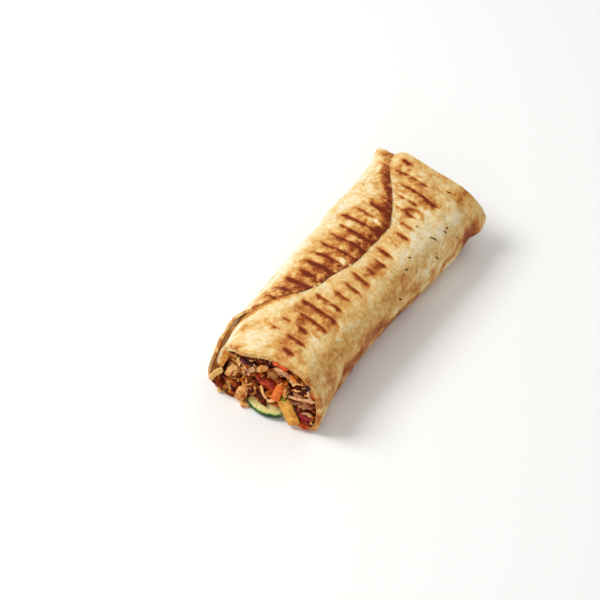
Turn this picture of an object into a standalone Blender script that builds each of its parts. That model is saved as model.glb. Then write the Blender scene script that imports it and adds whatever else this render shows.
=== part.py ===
"""A grilled shawarma roll: one round lavash rolled round chicken and vegetables,
folded shut at one end and cut straight across at the other.

Metres, +Z up. The roll lies along Y: the cut end faces -Y, the folded end +Y.
The origin is on the ground, under the middle of the roll's bounding box.
Sizes below are millimetres, turned to metres by MM where a mesh is made.
"""

import math

import bmesh
import bpy
import numpy as np
from mathutils import Euler, Vector, noise

MM = 0.001

# Driving sizes of the rolled bread. A station is (place along Y, value there).
AXIS_X, AXIS_Y = 0.0, 2.9  # where the roll's own frame lies, so that its box is centred
CUT_Y = -86.6  # the cut end, at the top
FOLD_Y = 86.6  # where the bread turns in at the folded end
SHEET = 1.5  # thickness of one layer of lavash
WALL = 3.2  # the layers together, from the outside to the filling
LEFT_WIDTH = (
    (-92, 29.4), (-84, 29.8), (-74, 31.2), (-62, 32.8), (-48, 33.6), (-33, 34.2), (-6, 34.8),
    (14, 34.4), (32, 34.4), (54, 32.6), (75, 33.4), (88, 34.6),
)
RIGHT_WIDTH = (
    (-92, 34.6), (-84, 34.2), (-74, 31.8), (-64, 30.6), (-48, 30.4), (-30, 31.2), (-8, 32.4),
    (20, 34.6), (44, 36.6), (64, 38.2), (76, 39.8), (84, 42.8), (89, 42.4),
)
TOP_HEIGHT = ((-92, 44.4), (-60, 44.6), (0, 44.6), (50, 44.6), (72, 44.8), (82, 44.6), (88, 44.6))
WIDEST_HEIGHT = ((-92, 20.0), (60, 20.0), (76, 21.0), (84, 22.0), (89, 23.0))
TOP_LEFT_POWER = ((-92, 2.7), (70, 2.7), (88, 2.3))
TOP_RIGHT_POWER = ((-92, 2.6), (58, 2.6), (74, 2.0), (88, 1.5))
BOTTOM_POWER = ((-92, 5.0), (-80, 4.6), (-64, 3.4), (62, 3.2), (88, 2.0))
GROUND_SINK = 0.6  # how far the round underside is pressed flat

# The outer layer's free edge: how far right of the roll's top line it lies.
FREE_EDGE = (
    (-92, -50.0), (-84, -46.0), (-76, -40.0), (-70, -34.0), (-61, -25.5), (-50, -18.0), (-41, -9.5),
    (-32, -3.0), (-22, 0.0), (-7, 5.4), (11, 7.3), (25, 7.8), (31, 8.0), (38, 5.0), (45, 1.6),
    (57, -5.6), (67, -12.5), (76, -17.8), (84, -20.6), (90, -21.5),
)
STEP_FADE = 0.3  # the part of a turn over which the step's thickness is taken up
# The loose corner at the cut: how far it stands off, from where along Y, and its reach in s.
CORNER_LIFT, CORNER_FROM, CORNER_FLAT, CORNER_REACH = 10.4, -58.5, 12.0, 25.0
CORNER_BACK, CORNER_BACK_REACH = 10.5, 26.0  # how far its cut edge lies behind the inner layer's
TIP_LIFT, TIP_FROM, TIP_MIDDLE, TIP_WIDTH = 3.4, 72.0, 8.0, 5.5  # the raised tip at the fold
PEAK_X, PEAK_WIDTH, PEAK_HEIGHT, PEAK_FROM = -12.6, 6.5, 3.4, 72.0  # the peak beside that tip

# How the solids are divided.
OUTLINE_STEPS = 720
BREAD_SIDES = 54
BREAD_ROWS = 38
HOLLOW_SIDES = 32
HOLLOW_ROWS = (-86.6, -81.6, -77.6, -73.6, -64.0, -48.0, -30.0, -8.0, 20.0, 44.0, 64.0)
HOLLOW_END = 72.0
# The folded end's last rings: how far each is squeezed across and up, and moved along Y.
TUCK_RINGS = ((0.97, 0.86, 0.9), (0.92, 0.6, 0.2), (0.86, 0.34, -2.6), (0.8, 0.14, -5.4), (0.76, 0.04, -7.0))
GAP = 0.35  # clearance between solids that touch


def through(stations, at):
    """The value at a place along Y, on a smooth curve through the stations."""
    place, value = np.array(stations, float).T
    slope = np.gradient(value, place)
    k = int(np.clip(np.searchsorted(place, at) - 1, 0, len(place) - 2))
    span = place[k + 1] - place[k]
    t = float(np.clip((at - place[k]) / span, 0.0, 1.0))
    rise = value[k + 1] - value[k]
    bend = (slope[k] * span - rise) * (1 - t) - (slope[k + 1] * span - rise) * t
    return value[k] + rise * t + t * (1 - t) * bend


def ramp(t):
    """0 below 0, 1 above 1 and smooth between."""
    t = min(max(t, 0.0), 1.0)
    return t * t * (3 - 2 * t)


def unevenness(x, y, z):
    """The hand-rolled bread's soft lumps and dents, and the peak at its folded end."""
    broad = noise.noise(Vector((x / 26, y / 34, z / 26)))
    small = noise.noise(Vector((x / 9 + 7, y / 14, z / 9)))
    peak = math.exp(-(((x - PEAK_X) / PEAK_WIDTH) ** 2)) - 0.6 * math.exp(-(((x - 8) / 10) ** 2))
    pressed = 0.1 + 0.9 * ramp(z / 12)
    raised = PEAK_HEIGHT * peak * ramp((y - PEAK_FROM) / 16) * ramp((z - 28) / 8)
    return (0.8 * broad + 0.4 * small) * pressed + raised


class Section:
    """The roll's outline at one place along Y, with distances measured round it.

    A distance s is 0 over the rolling axis and grows to the right. Going down in s leads
    over the left side, under the roll and up the right side.
    """

    def __init__(self, y):
        self.y = y
        angle = math.pi / 2 + np.arange(OUTLINE_STEPS + 1) * (2 * math.pi / OUTLINE_STEPS)
        across, up = np.cos(angle), np.sin(angle)
        side = np.where(across > 0, through(RIGHT_WIDTH, y), through(LEFT_WIDTH, y))
        middle = through(WIDEST_HEIGHT, y)
        tall = np.where(up > 0, through(TOP_HEIGHT, y) - middle, middle + GROUND_SINK)
        top_power = np.where(across > 0, through(TOP_RIGHT_POWER, y), through(TOP_LEFT_POWER, y))
        power = np.where(up > 0, top_power, through(BOTTOM_POWER, y))
        self.x = side * np.sign(across) * np.abs(across) ** (2 / power)
        self.z = middle + tall * np.sign(up) * np.abs(up) ** (2 / power)
        step = np.hypot(np.diff(self.x), np.diff(self.z))
        self.s = -np.concatenate([[0.0], np.cumsum(step)])
        self.round = -self.s[-1]

    def at(self, s, offset=0.0):
        """(x, z) at the distance s, offset outwards."""
        x, z = self.point(s)
        near, far = self.point(s + 0.8), self.point(s - 0.8)
        along = Vector((far[0] - near[0], far[1] - near[1])).normalized()
        return x + along.y * offset, z - along.x * offset

    def point(self, s):
        """(x, z) on the outline at the distance s."""
        distance = (-s) % self.round
        return float(np.interp(distance, -self.s, self.x)), float(np.interp(distance, -self.s, self.z))


def lift(y, past_edge):
    """How far the outer layer stands off the roll, at a distance in from its free edge."""
    corner = CORNER_LIFT * ramp((CORNER_FROM - y) / 25) * (0.7 + 0.3 * ramp(past_edge / 12))
    corner *= 1 - ramp((past_edge - CORNER_FLAT) / CORNER_REACH)
    tip = TIP_LIFT * ramp((y - TIP_FROM) / 14) * math.exp(-(((past_edge - TIP_MIDDLE) / TIP_WIDTH) ** 2))
    return corner + tip


def layer_height(turn):
    """How far the outer layer's outside lies off the roll's outline, after part of a turn."""
    return SHEET * (1 - ramp(turn / STEP_FADE))


def forward(x, z):
    """How far the slanting cut stands forward of its top, most at the lower left."""
    return (0.03 * x - 2.8) * (1 - z / 45)


def cut_line(s, y, x, z):
    """How far a point near the cut end is moved from the straight cut."""
    wave = 0.7 * noise.noise(Vector((s / 11, 3.0, 0.0))) + 0.35 * noise.noise(Vector((s / 4, 9.0, 0.0)))
    foot = 5.0 * (1 - ramp(z / 10)) * math.exp(-(((x + 0.2) / 16) ** 4))
    lip = -4.5 * math.exp(-(((x + 11) / 10) ** 2)) * ramp((z - 30) / 8)
    return (wave + foot + lip + forward(x, z)) * ramp((CUT_Y + 14 - y) / 14)


def new_object(name, points, faces, colour, roughness):
    """A mesh object from points in mm, with its own material."""
    mesh = bpy.data.meshes.new(name)
    mesh.from_pydata([((x + AXIS_X) * MM, (y + AXIS_Y) * MM, z * MM) for x, y, z in points], [], faces)
    edit = bmesh.new()
    edit.from_mesh(mesh)
    bmesh.ops.recalc_face_normals(edit, faces=edit.faces)
    bmesh.ops.triangulate(edit, faces=[f for f in edit.faces if len(f.verts) > 4])
    edit.to_mesh(mesh)
    edit.free()
    mesh.shade_smooth()
    mesh.set_sharp_from_angle(angle=math.radians(40))
    piece = bpy.data.objects.new(name, mesh)
    bpy.context.scene.collection.objects.link(piece)
    material = bpy.data.materials.new(name)
    material.use_nodes = True
    shader = material.node_tree.nodes["Principled BSDF"]
    shader.inputs["Base Color"].default_value = (*colour, 1.0)
    shader.inputs["Roughness"].default_value = roughness
    mesh.materials.append(material)
    return piece


def loft(name, rings, colour=(0.8, 0.6, 0.4), roughness=0.6):
    """A closed body through rings of equally many points, its two ends capped."""
    count = len(rings[0])
    points = [p for ring in rings for p in ring]
    faces = [
        (r * count + i, r * count + (i + 1) % count, (r + 1) * count + (i + 1) % count, (r + 1) * count + i)
        for r in range(len(rings) - 1)
        for i in range(count)
    ]
    faces.append(tuple(range(count)))
    faces.append(tuple(reversed(range((len(rings) - 1) * count, len(rings) * count))))
    return new_object(name, points, faces, colour, roughness)


def apply_boolean(target, operation, tools):
    """Joins, cuts or trims the target with the tools, which are then removed."""
    group = bpy.data.collections.new("tools")
    bpy.context.scene.collection.children.link(group)
    for tool in tools:
        bpy.context.scene.collection.objects.unlink(tool)
        group.objects.link(tool)
    modifier = target.modifiers.new(operation, "BOOLEAN")
    modifier.operation = operation
    modifier.operand_type = "COLLECTION"
    modifier.collection = group
    evaluated = target.evaluated_get(bpy.context.evaluated_depsgraph_get())
    result = bpy.data.meshes.new_from_object(evaluated)
    target.modifiers.clear()
    target.data = result
    for tool in tools:
        bpy.data.objects.remove(tool)
    bpy.data.collections.remove(group)


def keep_largest(target):
    """Drops the loose scraps that cutting leaves beside the main body."""
    edit = bmesh.new()
    edit.from_mesh(target.data)
    left, bodies = set(edit.verts), []
    while left:
        body, edge_of_body = set(), [left.pop()]
        while edge_of_body:
            vertex = edge_of_body.pop()
            body.add(vertex)
            for edge in vertex.link_edges:
                other = edge.other_vert(vertex)
                if other in left:
                    left.remove(other)
                    edge_of_body.append(other)
        bodies.append(body)
    bodies.sort(key=len)
    bmesh.ops.delete(edit, geom=[v for body in bodies[:-1] for v in body], context="VERTS")
    edit.to_mesh(target.data)
    edit.free()


# The bread ---------------------------------------------------------------------------------------


def bread_ring(y, shrink=(1.0, 1.0), pull=0.0, inside=0.0):
    """The bread's outside at y: from the free edge once round to the layer under it.

    shrink squeezes it across and up towards the fold's crease and pull draws it in along Y.
    inside is how far in from the outer layer a ring of the cut's face lies.
    """
    section = Section(y)
    edge = through(FREE_EDGE, y)
    crease = through(WIDEST_HEIGHT, y) - 2.0
    ring = []
    for i in range(BREAD_SIDES + 1):
        turn = i / BREAD_SIDES
        past = turn * section.round
        s = edge - past
        layer = layer_height(turn) + (0.0 if inside else lift(y, past))
        x, z = section.at(s, layer)
        bump = unevenness(x, y, z)
        x, z = section.at(s, layer + bump - inside)
        x, z = x * shrink[0], crease + (z - crease) * shrink[1]
        drawn = y + cut_line(s, y, x, z) + pull
        if not inside:
            drawn += CORNER_BACK * (1 - ramp(past / CORNER_BACK_REACH)) * ramp((CUT_Y + 38 - y) / 38)
        ring.append((x, drawn, max(z, 0.0)))
    return ring


def flatbread():
    """The rolled lavash: outside, step at the free edge, folded end, and the hollow it wraps."""
    rows = np.linspace(CUT_Y, FOLD_Y, BREAD_ROWS)
    cut_face = [bread_ring(CUT_Y, inside=WALL + 1.8), bread_ring(CUT_Y, inside=SHEET)]
    rings = cut_face + [bread_ring(y) for y in rows]
    # The end is tucked in: top and bottom meet in a flat crease between the two ears.
    for across, up, pull in TUCK_RINGS:
        rings.append(bread_ring(FOLD_Y, (across, up), pull))
    bread = loft("flatbread", rings, (0.83, 0.62, 0.36), 0.6)
    apply_boolean(bread, "DIFFERENCE", [hollow("hollow", 0.0, CUT_Y - 8, HOLLOW_END), loose_corner_gap()])
    return bread


def inner_ring(y, offset, slanted):
    """A ring of points at y, offset from the roll's outline, slanted like the cut if asked."""
    section = Section(max(y, CUT_Y))
    ring = []
    for i in range(HOLLOW_SIDES):
        x, z = section.at(-i * section.round / HOLLOW_SIDES, offset)
        ring.append((x, y + (forward(x, z) if slanted else 0.0), z))
    return ring


def hollow(name, smaller, front, back):
    """The space inside the bread, or the filling's limit a little smaller than it."""
    rings = []
    for y in (front, *(row for row in HOLLOW_ROWS if row > front + 2), back - smaller):
        rings.append(inner_ring(y, -(WALL + smaller), y == front))
    last = rings[-1]
    middle = through(WIDEST_HEIGHT, back)
    rings.append([(0.7 * x, y + 4.5, middle + 0.5 * (z - middle)) for x, y, z in last])
    return loft(name, rings)


def cut_space(name):
    """Where the filling may be at the cut: inside the bread, and in front of its whole edge."""
    inside = -(WALL + GAP + 0.3)
    rings = [inner_ring(CUT_Y + back, -0.6, True) for back in (-4.6, -1.5)]
    rings += [inner_ring(CUT_Y + back, inside, back < 2) for back in (-1.3, 1, 5, 9, 13)]
    return loft(name, rings)


def loose_corner_gap():
    """The space under the outer layer, where its corner stands off at the cut end."""
    beyond_edge = 2.0  # the cutter comes out past the free edge by this much
    rings = []
    for y in np.linspace(CUT_Y - 8, CORNER_FROM - 5, 11):
        section = Section(max(y, CUT_Y - 4))
        edge = through(FREE_EDGE, y)
        outer, inner = [], []
        for past in np.linspace(-beyond_edge, CORNER_FLAT + 0.72 * CORNER_REACH, 13):
            layer = layer_height(max(past, 0.0) / section.round)
            stands_off = max(lift(y, max(past, 0.0)), 0.5)
            x, z = section.at(edge - past, layer + stands_off)
            bump = unevenness(x, y, z)
            for offset, side in ((stands_off - 0.1, outer), (-0.1, inner)):
                x, z = section.at(edge - past, layer - SHEET + 0.1 + offset + bump)
                side.append((x, y, z))
        rings.append(outer + inner[::-1])
    return loft("loose_corner_gap", rings)


# The filling -------------------------------------------------------------------------------------


def chunk(name, centre, size, turned, seed, colour=(0.5, 0.2, 0.1), grow=0.0, rough=0.16, level=2):
    """A torn or diced piece: an uneven rounded lump of the size given, turned by degrees."""
    mesh = bmesh.new()
    bmesh.ops.create_icosphere(mesh, subdivisions=level, radius=1.0)
    turn = Euler([math.radians(a) for a in turned]).to_matrix()
    points = []
    for vertex in mesh.verts:
        p = vertex.co.copy()
        box = max(abs(c) for c in p)
        p = p.lerp(p / box, 0.42)
        p *= 1 + rough * noise.noise(p * 1.7 + Vector((seed * 3.1, seed * 1.7, seed)))
        p = Vector([p[i] * (size[i] / 2 + grow) for i in range(3)])
        points.append(turn @ p + Vector(centre))
    faces = [[v.index for v in f.verts] for f in mesh.faces]
    mesh.free()
    return new_object(name, points, faces, colour, 0.45)


# A cut strip's section, as parts of its half width and half thickness.
STRIP_CORNERS = (
    (1, 0.35), (0.55, 1), (-0.55, 1), (-1, 0.35), (-1, -0.35), (-0.55, -1), (0.55, -1), (1, -0.35),
)


def strip(name, start, end, wide, thick, bow, colour=(0.7, 0.4, 0.1), grow=0.0, parts=4):
    """A cut strip or shred from start to end, bowed to one side, its flat side to the front."""
    start, end = Vector(start), Vector(end)
    run = (end - start).normalized()
    flat = Vector((0.0, -1.0, 0.25))
    flat = (flat - flat.dot(run) * run).normalized()
    side = run.cross(flat)
    start, end = start - run * grow, end + run * grow
    rings = []
    for i in range(parts + 1):
        t = i / parts
        middle = start.lerp(end, t) + side * bow * 4 * t * (1 - t)
        taper = 0.62 + 0.38 * math.sin(math.pi * min(max(t, 0.12), 0.88))
        half_wide, half_thick = wide / 2 * taper + grow, thick / 2 * taper + grow
        rings.append([middle + side * half_wide * a + flat * half_thick * b for a, b in STRIP_CORNERS])
    return loft(name, rings, colour, 0.45)


def cucumber_slice(name, grow=0.0):
    """A piece of a thick slice, rind to the front, that slopes down out of the cut."""
    radius, half_wide, deep, thick, slope = 19.5, 10.4, 8.6, 3.0, math.radians(18)
    back = Vector((0.0, math.cos(slope), math.sin(slope)))
    up = Vector((0.0, -math.sin(slope), math.cos(slope)))
    front = Vector((0.2, -92.9, 2.1))
    rings = []
    for level, rounding in ((-1.0, 0.5), (-0.7, 0.0), (0.7, 0.0), (1.0, 0.5)):
        middle = front + up * level * (thick / 2 + grow)
        across = half_wide - 0.4 * rounding + grow
        ring = [middle + back * (deep + grow) + Vector((x, 0, 0)) for x in (across, -across)]
        for i in range(11):
            x = across * (i / 5 - 1)
            behind = radius - math.sqrt(radius**2 - x**2) + rounding - grow
            ring.append(middle + back * behind + Vector((x, 0, 0)))
        rings.append(ring)
    return loft(name, rings, (0.18, 0.35, 0.06), 0.3)


# The pieces that show by themselves at the cut: each is a function of how much it is grown,
# so that the same shape, a little larger, makes its seat in the filling.
PIECES = {
    "cucumber_slice": cucumber_slice,
    "tomato_piece": lambda name, grow=0.0: chunk(
        name, (-0.5, -83.6, 19.8), (12.6, 6.4, 11.6), (8, 12, 4), 3, (0.62, 0.05, 0.02), grow, 0.2
    ),
    "carrot_strip": lambda name, grow=0.0: strip(
        name, (10.4, -88.0, 27.6), (6.6, -89.4, 14.6), 5.0, 3.0, 0.6, (0.85, 0.2, 0.01), grow
    ),
    "pepper_strip": lambda name, grow=0.0: strip(
        name, (11.6, -88.6, 17.0), (20.2, -91.2, 3.4), 8.4, 2.0, 0.8, (0.8, 0.42, 0.04), grow
    ),
    "cabbage_strip": lambda name, grow=0.0: strip(
        name, (-33.6, -91.2, 8.2), (-25.6, -89.9, 20.4), 4.0, 1.6, 0.9, (0.8, 0.6, 0.2), grow
    ),
    "chicken_piece_left": lambda name, grow=0.0: chunk(
        name, (-20.8, -85.6, 20.6), (8.6, 7.2, 8.2), (0, 20, 10), 5, (0.6, 0.36, 0.18), grow
    ),
    "chicken_piece_low": lambda name, grow=0.0: chunk(
        name, (-13.8, -89.6, 8.2), (7.6, 6.2, 8.8), (0, -14, 0), 8, (0.62, 0.42, 0.24), grow
    ),
    "onion_strip_top": lambda name, grow=0.0: strip(
        name, (3.6, -84.8, 34.4), (17.0, -84.8, 34.8), 4.6, 2.4, 1.2, (0.7, 0.4, 0.34), grow
    ),
    "onion_strip_right": lambda name, grow=0.0: strip(
        name, (17.0, -86.6, 24.6), (28.4, -86.0, 20.0), 5.0, 2.2, 1.0, (0.7, 0.48, 0.36), grow
    ),
    "cabbage_piece": lambda name, grow=0.0: chunk(
        name, (23.8, -85.4, 11.0), (8.0, 5.6, 7.0), (0, 10, 0), 11, (0.3, 0.02, 0.07), grow
    ),
}


def filling():
    """The packed filling along the whole roll, its shreds fused on where they show at the cut."""
    core = hollow("filling", GAP + 0.2, CUT_Y + 4.5, HOLLOW_END)
    shader = core.data.materials[0].node_tree.nodes["Principled BSDF"]
    shader.inputs["Base Color"].default_value = (0.36, 0.13, 0.05, 1.0)
    rng = np.random.default_rng(7)
    shreds = []
    left, right, top = (through(size, CUT_Y) for size in (LEFT_WIDTH, RIGHT_WIDTH, TOP_HEIGHT))
    columns, levels = 8, 5
    for row in range(levels):
        for column in range(columns):
            x = 5 - left + (left + right - 10) * (column + 0.5 * (row % 2)) / (columns - 0.5)
            z = 7 + (top - 14) * row / (levels - 1)
            x, z = x + rng.uniform(-1.5, 1.5), z + rng.uniform(-1.2, 1.2)
            place = (x, CUT_Y + 3.4 + forward(x, z) + rng.uniform(-1.6, 0.8), z)
            size = (rng.uniform(7, 11), rng.uniform(6, 8), rng.uniform(4, 6.5))
            turned = (rng.uniform(-25, 25), rng.uniform(-60, 60), rng.uniform(-30, 30))
            name = f"shred_{row}_{column}"
            shreds.append(chunk(name, place, size, turned, row * 10 + column, rough=0.3, level=1))
    showing = shreds.pop()
    apply_boolean(showing, "UNION", shreds)
    apply_boolean(showing, "INTERSECT", [cut_space("cut_space")])
    apply_boolean(core, "UNION", [showing])
    seats = [make(f"seat_{name}", grow=GAP) for name, make in PIECES.items()]
    apply_boolean(core, "DIFFERENCE", seats)
    keep_largest(core)
    return core


for old in list(bpy.data.objects):
    bpy.data.objects.remove(old)
flatbread()
filling()
for piece_name, make_piece in PIECES.items():
    make_piece(piece_name)
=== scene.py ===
"""A grilled shawarma roll, dressed: lavash with its grill marks, and the filling at the cut.

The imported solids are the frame. Metres, +Z up; the cut end faces -Y and the folded end +Y.
Shapes are worked out in millimetres in the roll's own frame and made meshes in metres.
"""

import math

import bmesh
import bpy
import numpy as np
from mathutils import Euler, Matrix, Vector, noise


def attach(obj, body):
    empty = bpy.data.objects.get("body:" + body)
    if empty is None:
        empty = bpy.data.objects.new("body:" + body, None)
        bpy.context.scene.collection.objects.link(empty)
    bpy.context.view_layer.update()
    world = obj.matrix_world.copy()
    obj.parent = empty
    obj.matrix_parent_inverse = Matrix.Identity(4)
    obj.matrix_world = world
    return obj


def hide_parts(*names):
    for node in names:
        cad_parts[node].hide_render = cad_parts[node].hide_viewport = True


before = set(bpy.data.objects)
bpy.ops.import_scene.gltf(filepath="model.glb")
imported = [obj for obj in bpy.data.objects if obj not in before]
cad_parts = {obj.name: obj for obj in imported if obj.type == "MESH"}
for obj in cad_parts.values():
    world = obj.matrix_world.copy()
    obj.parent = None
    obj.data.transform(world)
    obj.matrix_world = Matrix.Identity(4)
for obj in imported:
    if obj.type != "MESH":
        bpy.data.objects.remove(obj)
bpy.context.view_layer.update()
bpy.ops.object.select_all(action="DESELECT")


# The lavash's shape ------------------------------------------------------------------------------
# A round sheet of thin, soft wheat bread, rolled twice round the filling, folded shut at one end
# and cut across at the other, then pressed on a hot ridged grill. The sheet is laid round the
# roll as it is in the kitchen: from its free edge, once round, and on under itself.

MM = 0.001
AXIS_X, AXIS_Y = 0.0, 2.9  # the roll's own frame in the model's, so that the box is centred
CUT_Y, FOLD_Y = -86.6, 86.6
SHEET = 1.5  # one layer with the air under it
BREAD_THICK = 1.4

# Stations are (place along Y, value there).
LEFT_WIDTH = (
    (-92, 29.4), (-84, 29.8), (-74, 31.2), (-62, 32.8), (-48, 33.6), (-33, 34.2), (-6, 34.8),
    (14, 34.4), (32, 34.4), (54, 32.6), (75, 33.4), (88, 34.6),
)
RIGHT_WIDTH = (
    (-92, 34.6), (-84, 34.2), (-74, 31.8), (-64, 30.6), (-48, 30.4), (-30, 31.2), (-8, 32.4),
    (20, 34.6), (44, 36.6), (64, 38.2), (76, 39.8), (84, 42.8), (89, 42.4),
)
TOP_HEIGHT = ((-92, 44.4), (-60, 44.6), (0, 44.6), (50, 44.6), (72, 44.8), (82, 44.6), (88, 44.6))
WIDEST_HEIGHT = ((-92, 20.0), (60, 20.0), (76, 21.0), (84, 22.0), (89, 23.0))
TOP_LEFT_POWER = ((-92, 2.7), (70, 2.7), (88, 2.3))
TOP_RIGHT_POWER = ((-92, 2.6), (58, 2.6), (74, 2.0), (88, 1.5))
BOTTOM_POWER = ((-92, 5.0), (-80, 4.6), (-64, 3.4), (62, 3.2), (88, 2.0))
GROUND_SINK = 0.6
FREE_EDGE = (
    (-92, -50.0), (-84, -46.0), (-76, -40.0), (-70, -34.0), (-61, -25.5), (-50, -18.0), (-41, -9.5),
    (-32, -3.0), (-22, 0.0), (-7, 5.4), (11, 7.3), (25, 7.8), (31, 8.0), (38, 5.0), (45, 1.6),
    (57, -5.6), (67, -12.5), (76, -17.8), (84, -20.6), (90, -21.5),
)
# The loose corner at the cut: how far it stands off, from where along Y and over what length it
# rises, and how far in from the free edge it stays up and then comes down.
CORNER_LIFT, CORNER_FROM, CORNER_RISE = 10.4, -58.5, 25.0
CORNER_FLAT, CORNER_REACH = 12.0, 25.0
CORNER_BACK, CORNER_BACK_REACH = 10.5, 26.0  # how far its cut edge lies behind the inner layer's
CUT_BLEND, CORNER_BLEND = 14.0, 38.0  # how far along Y the shape of the cut's two edges runs out
INNER_SHOWN = 34.0  # how deep behind the cut the sheet's inner turn is kept
TIP_LIFT, TIP_FROM, TIP_MIDDLE, TIP_WIDTH = 3.4, 72.0, 8.0, 5.5  # the raised tip at the fold
PEAK_X, PEAK_WIDTH, PEAK_HEIGHT, PEAK_FROM = -12.6, 6.5, 3.4, 72.0  # the peak beside that tip
# The folded end's squeeze across and up and its move along Y, as the sheet turns in.
TUCK = 5
TUCK_ACROSS = ((0, 1.0), (1, 0.97), (2, 0.92), (3, 0.86), (4, 0.8), (5, 0.76))
TUCK_UP = ((0, 1.0), (1, 0.86), (2, 0.6), (3, 0.34), (4, 0.13), (5, 0.012))
TUCK_PULL = ((0, 0.0), (1, 0.9), (2, 0.2), (3, -2.6), (4, -5.4), (5, -7.0))


def through(stations, at):
    """The value at a place, on a smooth curve through the stations."""
    place, value = np.array(stations, float).T
    slope = np.gradient(value, place)
    k = int(np.clip(np.searchsorted(place, at) - 1, 0, len(place) - 2))
    span = place[k + 1] - place[k]
    t = float(np.clip((at - place[k]) / span, 0.0, 1.0))
    rise = value[k + 1] - value[k]
    bend = (slope[k] * span - rise) * (1 - t) - (slope[k + 1] * span - rise) * t
    return value[k] + rise * t + t * (1 - t) * bend


def ramp(t):
    """0 below 0, 1 above 1 and smooth between."""
    t = np.clip(t, 0.0, 1.0)
    return t * t * (3 - 2 * t)


def field(x, y, z, size, shift=(0.0, 0.0, 0.0)):
    """Smooth noise from -1 to 1 over arrays of places, its lumps about as large as size."""
    places = np.stack(np.broadcast_arrays(x, y, z), -1) / np.array(size, float) + shift
    flat = [noise.noise(place) for place in places.reshape(-1, 3).tolist()]
    return np.array(flat).reshape(places.shape[:-1])


class Section:
    """The roll's outline at one place along Y, with distances s measured round it.

    s is 0 over the rolling axis and grows to the right. Going down in s leads over the left
    side, under the roll and up the right side.
    """

    def __init__(self, y):
        angle = math.pi / 2 + np.linspace(0, 2 * math.pi, 721)
        across, up = np.cos(angle), np.sin(angle)
        side = np.where(across > 0, through(RIGHT_WIDTH, y), through(LEFT_WIDTH, y))
        middle = through(WIDEST_HEIGHT, y)
        tall = np.where(up > 0, through(TOP_HEIGHT, y) - middle, middle + GROUND_SINK)
        top_power = np.where(across > 0, through(TOP_RIGHT_POWER, y), through(TOP_LEFT_POWER, y))
        power = np.where(up > 0, top_power, through(BOTTOM_POWER, y))
        self.x = side * np.sign(across) * np.abs(across) ** (2 / power)
        self.z = middle + tall * np.sign(up) * np.abs(up) ** (2 / power)
        self.distance = np.concatenate([[0.0], np.cumsum(np.hypot(np.diff(self.x), np.diff(self.z)))])
        self.round = self.distance[-1]

    def point(self, s):
        distance = (-s) % self.round
        return np.interp(distance, self.distance, self.x), np.interp(distance, self.distance, self.z)

    def at(self, s, offset=0.0):
        """x and z at the distance s, offset outwards."""
        x, z = self.point(s)
        (near_x, near_z), (far_x, far_z) = self.point(s + 0.8), self.point(s - 0.8)
        step = np.hypot(far_x - near_x, far_z - near_z)
        return x + (far_z - near_z) / step * offset, z - (far_x - near_x) / step * offset


def lift(y, past_edge):
    """How far the outer layer stands off the roll, at a distance in from its free edge."""
    corner = CORNER_LIFT * ramp((CORNER_FROM - y) / CORNER_RISE) * (0.7 + 0.3 * ramp(past_edge / 12))
    corner = corner * (1 - ramp((past_edge - CORNER_FLAT) / CORNER_REACH))
    tip = TIP_LIFT * ramp((y - TIP_FROM) / 14) * np.exp(-(((past_edge - TIP_MIDDLE) / TIP_WIDTH) ** 2))
    return corner + tip


def forward(x, z):
    """How far the slanting cut stands forward of its top, most at the lower left."""
    return (0.03 * x - 2.8) * (1 - z / 45)


def unevenness(x, y, z):
    """The hand-rolled bread's soft lumps and dents, and the peak at its folded end."""
    peak = np.exp(-(((x - PEAK_X) / PEAK_WIDTH) ** 2)) - 0.6 * np.exp(-(((x - 8) / 10) ** 2))
    pressed = 0.1 + 0.9 * ramp(z / 12)
    lumps = 0.8 * field(x, y, z, (26, 34, 26)) + 0.4 * field(x, y, z, (9, 14, 9), (7, 0, 0))
    return lumps * pressed + PEAK_HEIGHT * peak * ramp((y - PEAK_FROM) / 16) * ramp((z - 28) / 8)


# Places on the sheet are s across (mm, 0 over the rolling axis) and y along the roll. The grill's
# ridges lie 8.25 mm apart, nearly straight across. A mark right of the free edge is (ridge, from
# s, to s, how dark, how brown it is down to the next ridge). One left of it runs on to that edge,
# and is (ridge, from s, how dark).
RIDGE_PITCH, RIDGE_SLANT, RIDGE_START = 8.25, 0.14, 2.4
RIGHT_MARKS = (
    (-9, 5, 13, 0.85, 0.6), (-8, -8, -3, 0.6, 0.0), (-8, 3, 14, 0.85, 0.7), (-7, -7, -1, 0.65, 0.1),
    (-7, 3, 12, 0.9, 0.8), (-6, -5, -1, 0.6, 0.0), (-6, 1, 18, 1.0, 0.7), (-5, -5, 21, 1.0, 0.8),
    (-4, 0, 18, 0.9, 0.8), (-3, 7, 18, 0.75, 0.3), (-2, 10, 19, 0.8, 0.3), (-1, 9, 21, 0.95, 0.3),
    (0, 13, 20, 0.8, 0.9), (1, 14, 22, 0.95, 0.9), (2, 11, 20, 1.0, 0.3), (3, 16, 20, 0.5, 0.1),
    (4, 14, 22, 0.9, 0.4), (5, 11, 21, 0.9, 0.3), (6, 3, 7, 0.8, 0.5), (6, 10, 16, 0.85, 0.8),
    (7, 0, 5.5, 0.9, 0.3), (7, 6.5, 13, 0.85, 0.3), (8, -4, 8, 0.9, 0.6), (8, 9, 23, 0.95, 0.8),
    (9, -10.5, -2.5, 0.9, 0.4), (9, -1, 12, 0.7, 0.9), (10, -12, -5.5, 0.8, 0.3),
)
LEFT_MARKS = (
    (-8, -27, 0.2), (-7, -27, 0.35), (-6, -25, 0.5), (-5, -23, 0.8), (-4, -21, 0.95), (-3, -17, 1.0),
    (-2, -18, 1.0), (-1, -21, 1.0), (0, -20, 0.8), (1, -18, 1.0), (2, -17, 0.9), (3, -20, 1.0),
    (4, -15, 0.85), (5, -11.5, 1.0), (6, -8, 0.6), (7, -11, 0.5), (8, -20, 0.5), (9, -25, 0.3),
    (10, -28, 0.4),
)
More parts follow.
